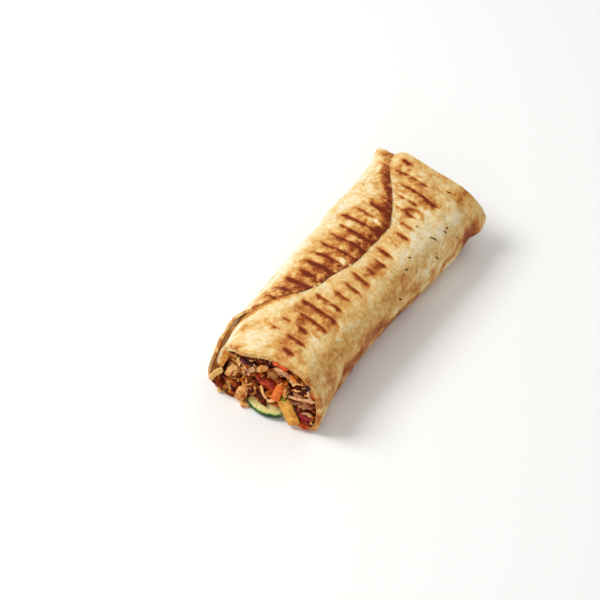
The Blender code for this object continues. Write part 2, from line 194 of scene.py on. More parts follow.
PUCKERS = ((1.0, -8.6), (0.0, 28.8))  # where the flap's edge is gathered: (s, y)
# Where the sheet browned off the ridges, or below 0 stayed paler: (s, y, reach across, reach
# along, how brown).
BLOTCHES = (
    (-8, 62, 5, 6, 0.2), (-14, 72, 4, 4, 0.2), (-24, 84, 4, 4, 0.2), (-6, 80, 7, 4, 0.28),
    (10, 72, 13, 6, 0.2), (20, 64, 8, 5, 0.2), (-15, 58, 7, 6, 0.2), (36, 8, 5, 9, 0.2),
    (40, 24, 7, 10, 0.22), (44, 46, 6, 12, 0.26), (30, -2, 4, 6, 0.1), (33, -52, 5, 8, 0.14),
    (27, -66, 4, 6, 0.12), (38, -74, 6, 5, 0.2), (12, -76, 6, 4, 0.16), (-14, -66, 9, 5, 0.16),
    (-22, -76, 4, 5, 0.3), (-6, -58, 8, 4, 0.1), (2, -80, 12, 3, 0.14), (46, -30, 6, 16, 0.24),
    (52, 70, 8, 10, 0.25), (30, 78, 7, 6, 0.12), (-38, 30, 6, 16, 0.1), (-40, -20, 5, 14, 0.1),
    (13, 46, 5, 4, 0.2), (-16, -84.5, 4.5, 2.4, 0.3), (30, 40, 9, 26, -0.12), (27, -6, 7, 22, -0.12),
    (14, -62, 8, 6, -0.08), (34, 64, 8, 6, -0.08),
)

# The mesh's rows run along Y and on into the tucked end. Its columns run across from the free
# edge, once round, closer together where the sheet passes under that edge, and round once more.
straight_rows, tuck_rows = 186, 15
rows = np.concatenate([np.linspace(CUT_Y, FOLD_Y, straight_rows), np.full(tuck_rows, FOLD_Y)])
tucked = np.concatenate([np.zeros(straight_rows), np.linspace(0, TUCK, tuck_rows + 1)[1:]])
left_columns, under_columns, right_columns, overlap_columns, inner_columns = 80, 20, 96, 10, 51
OVERLAP = 12

sections = [Section(y) for y in rows]
s, turn, girth = [], [], []
for y, section in zip(rows, sections):
    edge = through(FREE_EDGE, y) + 0.5 * noise.noise((y / 4, 2, 0)) + 0.3 * noise.noise((y / 1.6, 5, 0))
    outer_breaks = (edge, -0.37 * section.round, -0.65 * section.round, edge - section.round)
    across = np.concatenate([
        np.linspace(outer_breaks[0], outer_breaks[1], left_columns + 1)[:-1],
        np.linspace(outer_breaks[1], outer_breaks[2], under_columns + 1)[:-1],
        np.linspace(outer_breaks[2], outer_breaks[3], right_columns + 1),
        outer_breaks[3] - np.linspace(0, OVERLAP, overlap_columns + 1)[1:],
        outer_breaks[3] - np.linspace(OVERLAP, section.round, inner_columns + 1)[1:],
    ])
    s.append(across)
    turn.append((edge - across) / section.round)
    girth.append(np.full(len(across), section.round))
s, turn, girth = np.array(s), np.array(turn), np.array(girth)
y = np.broadcast_to(rows[:, None], s.shape)
tuck = np.broadcast_to(tucked[:, None], s.shape)
past = turn * girth
outer = turn <= 1.0
s_top = s + girth * np.round(turn)  # the distance from the rolling axis by the shorter way

# The outer layer lies one sheet out near its free edge and then on the roll's outline. The inner
# one starts close under that edge and sinks by one sheet as it goes round.
under = SHEET * (1 - ramp((turn - 1) / 0.3)) - (SHEET - 0.08) * ramp((past - girth) / 1.5)
layer = np.where(outer, SHEET * (1 - ramp(turn / 0.3)) + lift(y, past), under)

# Where the ridges pressed and browned the sheet.
wander = 0.8 * field(s_top, y, 0, 30, (3, 1, 0)) + 0.35 * field(s_top, y, 0, 9, (0, 4, 0))
ridge = (y + RIDGE_SLANT * s_top + RIDGE_START + wander) / RIDGE_PITCH
nearest = np.round(ridge)
off_ridge = np.abs(ridge - nearest) * RIDGE_PITCH
left_side = turn < 0.5
mark = np.zeros(s.shape)
halo = np.zeros(s.shape)
ragged = 1.2 * field(s_top, y, 0, 3.0, (0, 0, 5))
for number, start, end, dark, below in RIGHT_MARKS:
    reach = ramp((s_top - start + ragged) / 5 + 0.5) * ramp((end - s_top + ragged) / 5 + 0.5)
    mark = np.where((nearest == number) & ~left_side, np.maximum(mark, dark * reach), mark)
    spread = ramp((s_top - start + 4 + 2 * ragged) / 6) * ramp((end + 3 - s_top + 2 * ragged) / 6)
    from_mark = (ridge - number) * RIDGE_PITCH
    near = np.exp(-(((from_mark + 0.8) / 3.2) ** 2))
    merged = below * ramp((from_mark + 9.0) / 3.0) * ramp((1.0 - from_mark) / 2.5)
    halo = np.where(left_side, halo, np.maximum(halo, dark * spread * np.maximum(0.75 * near, merged)))
for number, start, dark in LEFT_MARKS:
    reach = ramp((s_top - start + 2 * ragged) / 6 + 0.3)
    mark = np.where((nearest == number) & left_side, np.maximum(mark, 0.93 * dark * reach), mark)
    spread = ramp((s_top - start + 5 + 2 * ragged) / 8)
    from_mark = (ridge - number) * RIDGE_PITCH
    near = np.exp(-(((from_mark + 1.0) / 4.0) ** 2))
    merged = ramp((s_top - start + 3 * ragged) / 12) * np.exp(-((from_mark / 6.5) ** 2))
    halo = np.where(left_side, np.maximum(halo, dark * np.maximum(0.9 * spread * near, merged)), halo)
exposed = np.where(turn < 1.0, 1.0, 0.0)
mark, halo = mark * exposed, halo * exposed
mark = mark * np.clip(0.95 + 0.3 * field(s_top, y, 0, (9, 5, 1), (2, 2, 2)), 0.3, 1.0)

# The flap is darkest along its free edge, where it stood proudest against the grill.
edge_reach = 12 - 7 * ramp((y - 30) / 24)
edge_band = np.exp(-((past / edge_reach) ** 2)) * ramp((80 - y) / 12) * ramp((y + 62) / 18)
seam_band = np.exp(-((past / 3.0) ** 2)) * ramp((y + 100) / 30) * (1 - 0.6 * ramp((y - 52) / 14))
char = np.where(left_side, np.maximum(0.75 * edge_band, seam_band), 0.0) * exposed
gathered = sum(np.exp(-(((s_top - a) / 4.5) ** 2) - (((y - b) / 3.0) ** 2)) for a, b in PUCKERS)
gathered = np.where(left_side, gathered, 0.0)
# At the gathers the char and marks are faded, part of a painted highlight laid on the gathered bread.
char, mark, halo = (values * (1 - 0.85 * gathered) for values in (char, mark, halo))


def laid(offset):
    """The x and z of every place on the sheet, offset outwards from the roll."""
    at = [section.at(across, out) for section, across, out in zip(sections, s, offset)]
    return np.array([place[0] for place in at]), np.array([place[1] for place in at])


def each_row(stations, places):
    """One value for each row of the sheet, read from the stations."""
    return np.array([through(stations, place) for place in places])[:, None]


# Relief, from the largest to the finest.
pressed_in = -0.45 * mark * (1 - ramp((off_ridge - 0.9) / 1.5))
crease = -0.8 * np.exp(-(((y - 73 - 0.06 * s_top) / 2.4) ** 2)) * ramp((s_top - 6) / 12)
crease = crease + 0.5 * np.exp(-(((y - 77.5 - 0.06 * s_top) / 2.0) ** 2)) * ramp((s_top - 8) / 10)
crease = np.where(outer & ~left_side, crease * ramp((past - 0.55 * girth) / 12), 0.0)
x, z = laid(layer)
pressed = 0.1 + 0.9 * ramp(z / 12)
folds = 0.55 * field(x, y, z, (40, 8, 16), (1, 2, 3)) * ramp((np.abs(s_top) - 16) / 10)
dents = 0.7 * field(x, y, z, (13, 17, 13), (6, 1, 3)) + 0.3 * field(x, y, z, (6, 9, 6), (1, 7, 2))
blisters = 0.8 * np.maximum(field(x, y, z, 5.5, (2, 0, 9)) - 0.2, 0)
curl_away = np.hypot((s_top - 15.0) * 0.9, y - 44.0)
curl = np.where(left_side, 0.0, np.exp(-(((curl_away - 5.5) / 1.3) ** 2)) * ramp((y - 42.0) / 5))
pleats = 0.22 * np.sin((y * 0.7 + s_top * 1.3) / 1.9 + 3 * field(x, y, z, 14)) * np.exp(-((past / 14) ** 2))
pleats = np.where(left_side, pleats * ramp(field(x, y, z, 17, (5, 5, 0)) * 3 + 0.6), 0.0)
fine = 0.09 * field(x, y, z, 2.4, (4, 4, 4))
gather_relief = 0.9 * gathered * np.sin(y * 1.5 + s_top)
radial = 0.9 * np.sin(s / 3.1 + 2.5 * field(x, 0, z, 15)) * ramp((tuck - 0.6) / 2.5)
relief = unevenness(x, y, z) + pressed_in + crease + radial
relief = relief + (folds + dents + blisters + pleats + fine + gather_relief + 0.5 * curl) * pressed
edge_curl = -0.75 * np.exp(-((past / 2.4) ** 2)) * np.where(left_side, 1.0, 0.0)
x, z = laid(layer + relief + edge_curl)

# The end folds in to two lips, which meet in a wandering line a little below the widest place.
x = x * each_row(TUCK_ACROSS, tucked)
wandering = 2.2 * field(x, 0, 0, 15, (0, 0, 8)) + 0.9 * field(x, 0, 0, 5, (0, 3, 8))
middle = each_row(WIDEST_HEIGHT, rows) - 2.0
z = middle + (z - middle) * each_row(TUCK_UP, tucked) + wandering * ramp(tuck / 4)

# The cut edge: wavy and frayed, pushed forward at its foot and hanging over as a lip at its top.
wave = 0.7 * field(s, 3, 0, (11, 1, 1)) + 0.35 * field(s, 9, 0, (4, 1, 1))
frayed = 0.25 * field(s, 4, 0, (1.3, 1, 1))
foot = 5.0 * (1 - ramp(z / 10)) * np.exp(-(((x + 0.2) / 16) ** 4))
lip = -4.5 * np.exp(-(((x + 11) / 10) ** 2)) * ramp((z - 30) / 8)
drawn = (wave + frayed + foot + lip + forward(x, z)) * ramp((CUT_Y + CUT_BLEND - y) / CUT_BLEND)
drawn = y + drawn + each_row(TUCK_PULL, tucked)
from_cut = ramp((CUT_Y + CORNER_BLEND - y) / CORNER_BLEND)
cut_back = CORNER_BACK * (1 - ramp(past / CORNER_BACK_REACH)) * from_cut
drawn = drawn + np.where(outer, cut_back, 0.0)
z = np.maximum(z, 0.0)

columns = s.shape[1]
bpy.ops.mesh.primitive_grid_add(x_subdivisions=columns - 1, y_subdivisions=len(rows) - 1, size=1)
lavash = bpy.context.object
lavash.name = "lavash_sheet"
mesh = lavash.data
order = np.empty(len(mesh.vertices) * 3, np.float32)
mesh.vertices.foreach_get("co", order)
order = order.reshape(-1, 3)
column = np.rint((order[:, 0] + 0.5) * (columns - 1)).astype(int)
row = np.rint((order[:, 1] + 0.5) * (len(rows) - 1)).astype(int)
places = np.stack([(x + AXIS_X) * MM, (drawn + AXIS_Y) * MM, z * MM], -1)[row, column]
mesh.vertices.foreach_set("co", places.astype(np.float32).ravel())

# The sheet's own map: u is the distance across in cm and v counts the grill's ridges.
grill = mesh.uv_layers[0]
grill.name = "grill"
corner_vertex = np.empty(len(mesh.loops), np.int32)
mesh.loops.foreach_get("vertex_index", corner_vertex)
corners = np.stack([s_top / 10, ridge], -1)[row[corner_vertex], column[corner_vertex]]
grill.data.foreach_set("uv", corners.astype(np.float32).ravel())

# How brown the sheet is off the marks' own lines, from 0, soft and pale, to 1, burnt black. Besides real
# browning it carries painted shade and light: browner low down, on the right side and in the gap under the
# loose corner, and paler on the upper left flank and at the gathers.
large = field(x, y, z, 24, (4, 0, 1))
middling = field(x, y, z, 8, (0, 5, 1))
little = field(x, y, z, 3.2, (3, 0, 6))
toast_and_painted_shading = 0.17 + 0.14 * large + 0.11 * middling + 0.08 * little
# Painted shade, partly the bread's own tan: browner low down and most on the right side, the side turned
# from the key lamp.
toast_and_painted_shading = toast_and_painted_shading + 0.25 * ramp((32 - z) / 24) * (0.95 + 1.5 * middling) * np.where(x > 0, 1.4, 0.6)
toast_and_painted_shading = toast_and_painted_shading + 0.08 * ramp((y - 64) / 18) * (0.8 + 0.8 * middling)
# Painted light, partly the unbrowned cream there: paler on the upper left flank, the side the key lamp
# faces.
toast_and_painted_shading = toast_and_painted_shading - 0.14 * ramp((-20 - s_top) / 12) * ramp((z - 16) / 14)
# Browner at the front top; the small rise on the right side is painted shade.
toast_and_painted_shading = toast_and_painted_shading + 0.1 * ramp((s_top + 4) / 10) * ramp((30 - y) / 40) + 0.03 * ramp((s_top - 22) / 8)
# Painted shade: the inner turn is browned where it lies in the gap under the loose corner near the cut.
painted_gap_shade = ramp((turn - 0.97) / 0.03) * (1 - ramp((past - girth - 18) / 10)) * ramp((-36 - y) / 12)
toast_and_painted_shading = toast_and_painted_shading + 0.45 * painted_gap_shade + 0.16 * ramp((tuck - 4) / 1)
for across, along, reach_s, reach_y, brown in BLOTCHES:
    away = ((s_top - across + 2.5 * middling) / reach_s) ** 2 + ((y - along + 2.5 * little) / reach_y) ** 2
    toast_and_painted_shading = toast_and_painted_shading + brown * np.exp(-away) * (0.8 + 0.6 * little)
toast_and_painted_shading = toast_and_painted_shading + 0.42 * halo * np.clip(0.9 + 0.6 * little + 0.4 * middling, 0.3, 1.3)
toast_and_painted_shading = toast_and_painted_shading + 0.26 * char * np.clip(0.8 + 1.2 * little + 0.5 * middling, 0.1, 1.5)
far_band = np.exp(-((past / 4.6) ** 2)) * ramp((y - 24) / 8) * ramp((76 - y) / 10) * left_side * exposed
toast_and_painted_shading = toast_and_painted_shading + 0.3 * far_band * np.clip(0.9 + 0.9 * little, 0.3, 1.2)
# Darker on the curled arc; paler at the gathers, a painted highlight.
toast_and_painted_shading = toast_and_painted_shading + 0.4 * curl - 0.16 * gathered
toast_and_painted_shading = toast_and_painted_shading + 0.14 * ramp((CUT_Y + 3.5 - y) / 3) * (1 + 0.8 * little)
toast_and_painted_shading = np.clip(toast_and_painted_shading, 0.0, 1.0)
for name, values in (("mark", mark), ("toast_and_painted_shading", toast_and_painted_shading), ("char", char)):
    layer_of_values = mesh.attributes.new(name, "FLOAT", "POINT")
    layer_of_values.data.foreach_set("value", values[row, column].astype(np.float32))

# The inner turn is kept where the cut shows it, and left out deep inside the roll.
edit = bmesh.new()
edit.from_mesh(mesh)
edit.verts.ensure_lookup_table()
hidden_turn = (turn > 1.06) & (y > CUT_Y + INNER_SHOWN)
hidden = hidden_turn[row, column]
bmesh.ops.delete(edit, geom=[v for v in edit.verts if hidden[v.index]], context="VERTS")
bmesh.ops.reverse_faces(edit, faces=edit.faces)
edit.to_mesh(mesh)
edit.free()

thicken = lavash.modifiers.new("thickness", "SOLIDIFY")
thicken.thickness = BREAD_THICK * MM
thicken.offset = -1.0
bpy.ops.object.modifier_apply(modifier=thicken.name)
lavash.data.shade_smooth()
lavash.data.set_sharp_from_angle(angle=math.radians(62))
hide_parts("flatbread")
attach(lavash, "root")


# The lavash's finish -----------------------------------------------------------------------------
# Wheat flatbread: matt, a little translucent, cream where it stayed soft and golden to red-brown and nearly
# black as it browned on the grill, with painted shade and light mixed into that browning. The fat in it
# gives a faint, patchy sheen.


def add(material, kind, inputs=(), **settings):
    """Adds a shader node with its settings, its input values and its links."""
    new = material.node_tree.nodes.new(kind)
    for key, value in settings.items():
        setattr(new, key, value)
    for socket, value in dict(inputs).items():
        if isinstance(value, bpy.types.NodeSocket):
            material.node_tree.links.new(value, new.inputs[socket])
        else:
            new.inputs[socket].default_value = value
    return new


def colour(hex_value):
    """An sRGB hex value as a linear colour."""
    parts = [int(hex_value[i : i + 2], 16) / 255 for i in (0, 2, 4)]
    return (*[p / 12.92 if p <= 0.04045 else ((p + 0.055) / 1.055) ** 2.4 for p in parts], 1.0)


def new_finish(name, values):
    """A material and its shader, with the values that hold all over it."""
    finish = bpy.data.materials.new(name)
    finish.use_nodes = True
    skin = finish.node_tree.nodes["Principled BSDF"]
    for socket, value in values.items():
        skin.inputs[socket].default_value = value
    return finish, skin


bread, shader = new_finish("toasted_lavash", {
    "IOR": 1.45, "Specular IOR Level": 0.2, "Subsurface Weight": 0.08,
    "Subsurface Radius": (1.0, 0.5, 0.25), "Subsurface Scale": 0.0012,
})
where = add(bread, "ShaderNodeTexCoord").outputs["Object"]
uv = add(bread, "ShaderNodeUVMap", uv_map="grill").outputs["UV"]
ridge_number = add(bread, "ShaderNodeSeparateXYZ", {0: uv}).outputs["Y"]
mark_at = add(bread, "ShaderNodeAttribute", attribute_name="mark").outputs["Fac"]
toast_and_shading_at = add(bread, "ShaderNodeAttribute", attribute_name="toast_and_painted_shading").outputs["Fac"]
char_at = add(bread, "ShaderNodeAttribute", attribute_name="char").outputs["Fac"]

# Noise at the scale of the dough's bubbles (6 mm), its crumb (2 mm) and its flour (0.8 mm).
bubbles = add(
    bread, "ShaderNodeTexNoise", {"Vector": where, "Scale": 165, "Detail": 4, "Roughness": 0.6}
).outputs["Fac"]
crumbs = add(
    bread, "ShaderNodeTexNoise", {"Vector": where, "Scale": 480, "Detail": 5, "Roughness": 0.65}
).outputs["Fac"]
flour = add(
    bread, "ShaderNodeTexNoise", {"Vector": where, "Scale": 1250, "Detail": 2, "Roughness": 0.6}
).outputs["Fac"]

# How far a point lies from the middle of its ridge, in mm along the roll, a little ragged.
half_pitch_on = add(bread, "ShaderNodeMath", {0: ridge_number, 1: 0.5}, operation="ADD").outputs[0]
within = add(bread, "ShaderNodeMath", {0: half_pitch_on}, operation="FRACT").outputs[0]
centred = add(bread, "ShaderNodeMath", {0: within, 1: 0.5}, operation="SUBTRACT").outputs[0]
in_mm = add(bread, "ShaderNodeMath", {0: centred, 1: RIDGE_PITCH}, operation="MULTIPLY").outputs[0]
shaken = add(bread, "ShaderNodeMapRange", {"Value": crumbs, 1: 0.3, 2: 0.7, 3: -0.5, 4: 0.5}).outputs[0]
from_ridge = add(bread, "ShaderNodeMath", {0: in_mm, 1: shaken}, operation="ADD").outputs[0]
below_ridge = add(bread, "ShaderNodeMath", {0: from_ridge, 1: 0.7}, operation="ADD").outputs[0]
off_body = add(bread, "ShaderNodeMath", {0: below_ridge}, operation="ABSOLUTE").outputs[0]
body = add(
    bread, "ShaderNodeMapRange", {"Value": off_body, 1: 0.6, 2: 2.6, 3: 1.0, 4: 0.0},
    interpolation_type="SMOOTHSTEP",
).outputs[0]
off_line = add(bread, "ShaderNodeMath", {0: from_ridge}, operation="ABSOLUTE").outputs[0]
line = add(
    bread, "ShaderNodeMapRange", {"Value": off_line, 1: 0.3, 2: 1.5, 3: 1.0, 4: 0.0},
    interpolation_type="SMOOTHSTEP",
).outputs[0]
half_body = add(bread, "ShaderNodeMath", {0: body, 1: 0.28}, operation="MULTIPLY").outputs[0]
profile = add(
    bread, "ShaderNodeMath", {0: line, 1: 0.26, 2: half_body}, operation="MULTIPLY_ADD"
).outputs[0]
# A weaker mark is narrower too, so that each mark runs out to a point.
weaker = add(bread, "ShaderNodeMath", {0: mark_at, 1: 0.54, 2: -0.54}, operation="MULTIPLY_ADD").outputs[0]
narrowed_mark = add(bread, "ShaderNodeMath", {0: profile, 1: weaker}, operation="ADD").outputs[0]
pressed_brown = add(bread, "ShaderNodeMath", {0: narrowed_mark, 1: 0.0}, operation="MAXIMUM").outputs[0]

# Everything that browns the sheet, with the painted shade and light in the toast, is added up, then read as
# a colour.
bubble_brown = add(
    bread, "ShaderNodeMapRange", {"Value": bubbles, 1: 0.3, 2: 0.7, 3: -0.09, 4: 0.09}
).outputs[0]
crumb_brown = add(
    bread, "ShaderNodeMapRange", {"Value": crumbs, 1: 0.3, 2: 0.7, 3: -0.13, 4: 0.13}
).outputs[0]
burnt_edge = add(
    bread, "ShaderNodeMapRange", {"Value": crumbs, 1: 0.42, 2: 0.62, 3: 0.0, 4: 0.3}
).outputs[0]
edge_brown = add(bread, "ShaderNodeMath", {0: burnt_edge, 1: char_at}, operation="MULTIPLY").outputs[0]
freckle = add(
    bread, "ShaderNodeMapRange", {"Value": flour, 1: 0.58, 2: 0.7, 3: 0.0, 4: 0.18}
).outputs[0]
browning_and_shading = toast_and_shading_at
for amount in (pressed_brown, bubble_brown, crumb_brown, edge_brown, freckle):
    browning_and_shading = add(bread, "ShaderNodeMath", {0: browning_and_shading, 1: amount}, operation="ADD").outputs[0]
browns = add(bread, "ShaderNodeValToRGB", {0: browning_and_shading})
stops = browns.color_ramp.elements
stops[0].position, stops[0].color = 0.0, colour("F6E8CB")
stops[1].position, stops[1].color = 1.0, colour("702604")
for position, hex_value in (
    (0.12, "F0DAAA"), (0.26, "E6C07C"), (0.4, "D9A358"), (0.54, "C37D3A"),
    (0.68, "A75A24"), (0.8, "934410"), (0.9, "823508"),
):
    stop = stops.new(position)
    stop.color = colour(hex_value)
bread.node_tree.links.new(browns.outputs[0], shader.inputs["Base Color"])
sheen_of_fat = add(
    bread, "ShaderNodeMapRange", {"Value": bubbles, 1: 0.3, 2: 0.7, 3: 0.42, 4: 0.68}
).outputs[0]
bread.node_tree.links.new(sheen_of_fat, shader.inputs["Roughness"])
grain_height = add(
    bread, "ShaderNodeMath", {0: flour, 1: 0.35, 2: crumbs}, operation="MULTIPLY_ADD"
).outputs[0]
grain = add(bread, "ShaderNodeBump", {"Strength": 0.8, "Distance": 0.0006, "Height": grain_height})
bread.node_tree.links.new(grain.outputs[0], shader.inputs["Normal"])
lavash.data.materials.clear()
lavash.data.materials.append(bread)


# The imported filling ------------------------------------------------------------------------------
# Spit-roasted meat, sauce and cut vegetables, packed tight in the roll. Its core is one dark,
# saucy mass with a torn face a few millimetres inside the cut, and the pieces lie on it.

WALL = 3.4  # the bread with the air under it
HEART = 22  # the height of the cut's middle
CORE_PLACES = (-76.0, -64.0, -48.0, -30.0, -8.0, 20.0, 44.0, 64.0, 72.0)  # its rings along Y
END_ROUNDING, END_LENGTH = 12, 4


def rim(y, inside, sides):
    """Points round the roll at y, this far inside its outline."""
    section = Section(max(y, CUT_Y))
    return section.at(-np.arange(sides) * section.round / sides, -inside)


def torn_face(x, z):
    """How deep behind the cut the core's uneven face lies."""
    big = field(x, 0, z, 7, (2, 3, 1))
    small = field(x, 0, z, 3, (8, 3, 1))
    return 4.6 + 2.2 * big + 1.2 * small


def make_piece(name, points, faces, tones=None):
    """A mesh object from points in mm in the roll's frame, each with a tone, 0 dark to 1 pale."""
    placed = (np.asarray(points, float) + (AXIS_X, AXIS_Y, 0.0)) * MM
    new_mesh = bpy.data.meshes.new(name)
    new_mesh.from_pydata(placed.tolist(), [], faces)
    if tones is not None:
        tone_layer = new_mesh.attributes.new("tone", "FLOAT", "POINT")
        tone_layer.data.foreach_set("value", np.asarray(tones, np.float32))
    shell = bmesh.new()
    shell.from_mesh(new_mesh)
    bmesh.ops.recalc_face_normals(shell, faces=shell.faces)
    shell.to_mesh(new_mesh)
    shell.free()
    new_mesh.shade_smooth()
    piece = bpy.data.objects.new(name, new_mesh)
    bpy.context.scene.collection.objects.link(piece)
    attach(piece, "root")
    return piece


def tube_faces(rings, sides, start=0):
    """The faces of a closed tube, ring by ring, and its two ends."""
    walls = [
        (start + r * sides + j, start + r * sides + (j + 1) % sides,
         start + (r + 1) * sides + (j + 1) % sides, start + (r + 1) * sides + j)
        for r in range(rings - 1)
        for j in range(sides)
    ]
    near_end = tuple(start + j for j in range(sides))
    far_end = tuple(start + (rings - 1) * sides + j for j in reversed(range(sides)))
    return [*walls, near_end, far_end]


core_sides, core_rings = 120, 34
edge_x, edge_z = rim(CUT_Y + 5, WALL, core_sides)
points = []
for part in np.linspace(0.02, 1.0, core_rings):
    face_x, face_z = edge_x * part, HEART + (edge_z - HEART) * part
    depth = torn_face(face_x, face_z) + 2.5 * part**8
    points.append(np.stack([face_x, CUT_Y + forward(face_x, face_z) + depth, face_z], -1))
for place in CORE_PLACES:
    ring_x, ring_z = rim(place, WALL, core_sides)
    points.append(np.stack([ring_x, np.full(core_sides, place), ring_z], -1))
ring_x, ring_z = rim(CORE_PLACES[-1], WALL + END_ROUNDING, core_sides)
points.append(np.stack([ring_x, np.full(core_sides, CORE_PLACES[-1] + END_LENGTH), ring_z], -1))
core = make_piece("filling_core", np.concatenate(points), tube_faces(len(points), core_sides))
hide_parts("filling")

# Meat in its spiced sauce, wet and rough, in lumps of about 4 mm. It shows only in the gaps between the
# pieces, and its near black-red is partly the sauce and partly painted shade of those gaps.
sauce, shader = new_finish("saucy_meat", {"IOR": 1.42, "Roughness": 0.38, "Specular IOR Level": 0.1})
where = add(sauce, "ShaderNodeTexCoord").outputs["Object"]
lumps = add(
    sauce, "ShaderNodeTexNoise", {"Vector": where, "Scale": 260, "Detail": 5, "Roughness": 0.6}
).outputs["Fac"]
stain = add(sauce, "ShaderNodeMapRange", {"Value": lumps, 1: 0.35, 2: 0.65}).outputs[0]
mixed = add(
    sauce, "ShaderNodeMix", {0: stain, 6: colour("3C0900"), 7: colour("7A2A06")}, data_type="RGBA"
).outputs[2]
sauce.node_tree.links.new(mixed, shader.inputs["Base Color"])
rough_skin = add(
    sauce, "ShaderNodeBump", {"Strength": 0.7, "Distance": 0.0008, "Height": lumps}
).outputs[0]
sauce.node_tree.links.new(rough_skin, shader.inputs["Normal"])
core.data.materials.append(sauce)


# The meat ----------------------------------------------------------------------------------------
# Chicken shaved from the spit: short torn strips with fibres along them, pale beige inside and
# red-brown where spice and heat darkened them, moist with juice and sauce.

bpy.ops.mesh.primitive_ico_sphere_add(subdivisions=4, radius=1.0)
ball = bpy.context.object
BALL_POINTS = np.array([v.co[:] for v in ball.data.vertices])
BALL_FACES = np.array([p.vertices[:] for p in ball.data.polygons])
bpy.data.objects.remove(ball)


def lump(centre, size, turned, seed, square=0.35, rough=0.2, fibres=0.0):
    """A torn or diced piece of the size given (mm), turned by degrees about its centre."""
    p = BALL_POINTS.copy()
    box = np.abs(p).max(axis=1, keepdims=True)
    p = p * (1 - square) + p / box * square
    shape = field(p[:, 0], p[:, 1], p[:, 2], 0.75, (seed * 1.3, seed * 0.7, seed * 0.37))
    shape = shape + 0.5 * field(p[:, 0], p[:, 1], p[:, 2], 0.3, (seed * 0.9, 3, seed * 0.5))
    p = p * (1 + rough * shape)[:, None]
    if fibres:
        strands = field(p[:, 0] * 0.4, p[:, 1], p[:, 2], 0.2, (seed, seed * 0.3, 2))
        p[:, 1:] *= (1 + fibres * strands)[:, None]
        p[:, 2] += 0.25 * p[:, 0] ** 2 * math.sin(seed * 2.3)
    turn_it = np.array(Euler([math.radians(a) for a in turned]).to_matrix())
    return (p * np.array(size) / 2) @ turn_it.T + np.array(centre), BALL_FACES


def strand(
    path, wide, thick, seed, sides=14, steps=26, face=(0.0, -1.0, 0.25), fibres=0.12, ragged=0.8,
    uneven=0.35, blunt=6,
):
    """A cut strip or torn shred (mm) along a smooth line, its flat side turned to face."""
    knots = np.array(path, float)
    at = np.linspace(0, len(knots) - 1, steps)
    stations = [[(i, knot[axis]) for i, knot in enumerate(knots)] for axis in range(3)]
    line = np.array([[through(stations[axis], t) for axis in range(3)] for t in at])
    rings = []
    for i in range(steps):
        run = Vector(line[min(i + 1, steps - 1)] - line[max(i - 1, 0)]).normalized()
        flat = Vector(face)
        flat = (flat - flat.dot(run) * run).normalized()
        side = run.cross(flat)
        t = i / (steps - 1)
        taper = (1 - abs(2 * t - 1) ** blunt) ** 0.5 * 0.88 + 0.12
        curl = 0.3 * min(wide, 3.6) * noise.noise((t * 2 + seed, seed * 2.1, 0.5))
        width = wide / 2 * taper * (1 + uneven * noise.noise((t * 4, seed * 1.3, 2.0)))
        ring = []
        for j in range(sides):
            a = 2 * math.pi * j / sides
            fibre = 1 + 2 * fibres * noise.noise((j * 0.9 + seed, t * 2.5, seed * 0.7))
            across = math.copysign(abs(math.cos(a)) ** 0.8, math.cos(a)) * width * fibre
            out = math.copysign(abs(math.sin(a)) ** 0.8, math.sin(a)) * thick / 2 * taper * fibre
            out += curl * (0.3 + 1.5 * (across / wide) ** 2)
            out += 0.14 * noise.noise((t * 9 + seed, across / 1.5, seed))
            torn_end = ragged * noise.noise((j * 0.8 + seed * 3, 4.0, t)) * abs(2 * t - 1) ** 5
            place = Vector(line[i]) + side * across + flat * out + run * torn_end
            ring.append(place[:])
        rings.append(ring)
    return np.array(rings).reshape(-1, 3), tube_faces(steps, sides)


def strips(listed):
    """Strands, each from (start, middle, end, width, thickness, seed, tone)."""
    return [(*strand(path, wide, thick, seed), tone) for *path, wide, thick, seed, tone in listed]


def torn_bundle(centre, length, wide, turned, seed, tone):
    """A torn piece of cooked meat: a fibrous chunk with loose fibres along it."""
    turn_it = np.array(Euler([math.radians(a) for a in turned]).to_matrix())
    size = (1.05 * length, wide, 0.8 * wide)
    bundle = [(*lump(centre, size, turned, seed, square=0.5, rough=0.26, fibres=0.25), tone)]
    for k in range(7):
        around, out = k * 0.9 + seed, 0.42 * wide
        off_y, off_z = out * math.cos(around), 0.8 * out * math.sin(around)
        slid = 0.2 * length * noise.noise((seed * 1.7, k * 2.3, 0.5))
        reach = length * (0.42 + 0.2 * noise.noise((seed * 0.9, k * 1.7, 3.5)))
        knots = np.array([
            (slid - reach, 0.75 * off_y, 0.75 * off_z), (slid, 1.05 * off_y, 1.05 * off_z),
            (slid + reach, 0.8 * off_y, 0.8 * off_z),
        ]) @ turn_it.T + np.array(centre)
        fibre_points, fibre_faces = strand(
            knots, 0.3 * wide, 0.2 * wide, seed * 7 + k, sides=10, steps=14, fibres=0.3, ragged=1.2
        )
        bundle.append((fibre_points, fibre_faces, tone - 0.1 + 0.5 * noise.noise((seed, k * 1.9, 7.0))))
    return bundle


def join_parts(name, parts):
    """One piece from many (points, faces, tone) parts."""
    all_points, all_faces, all_tones, start = [], [], [], 0
    for part_points, part_faces, tone in parts:
        all_points.append(part_points)
        all_faces += [tuple(int(i) + start for i in face) for face in part_faces]
        all_tones += [tone] * len(part_points)
        start += len(part_points)
    points_together = np.concatenate(all_points)
    points_together[:, 2] = np.maximum(points_together[:, 2], 0.1)
    return make_piece(name, points_together, all_faces, all_tones)


lip_x, lip_z = rim(CUT_Y, WALL - 0.2, 240)
lip_angle = np.arctan2(lip_z - HEART, lip_x)
by_angle = np.argsort(lip_angle)
lip_angle, lip_reach = lip_angle[by_angle], np.hypot(lip_x, lip_z - HEART)[by_angle]


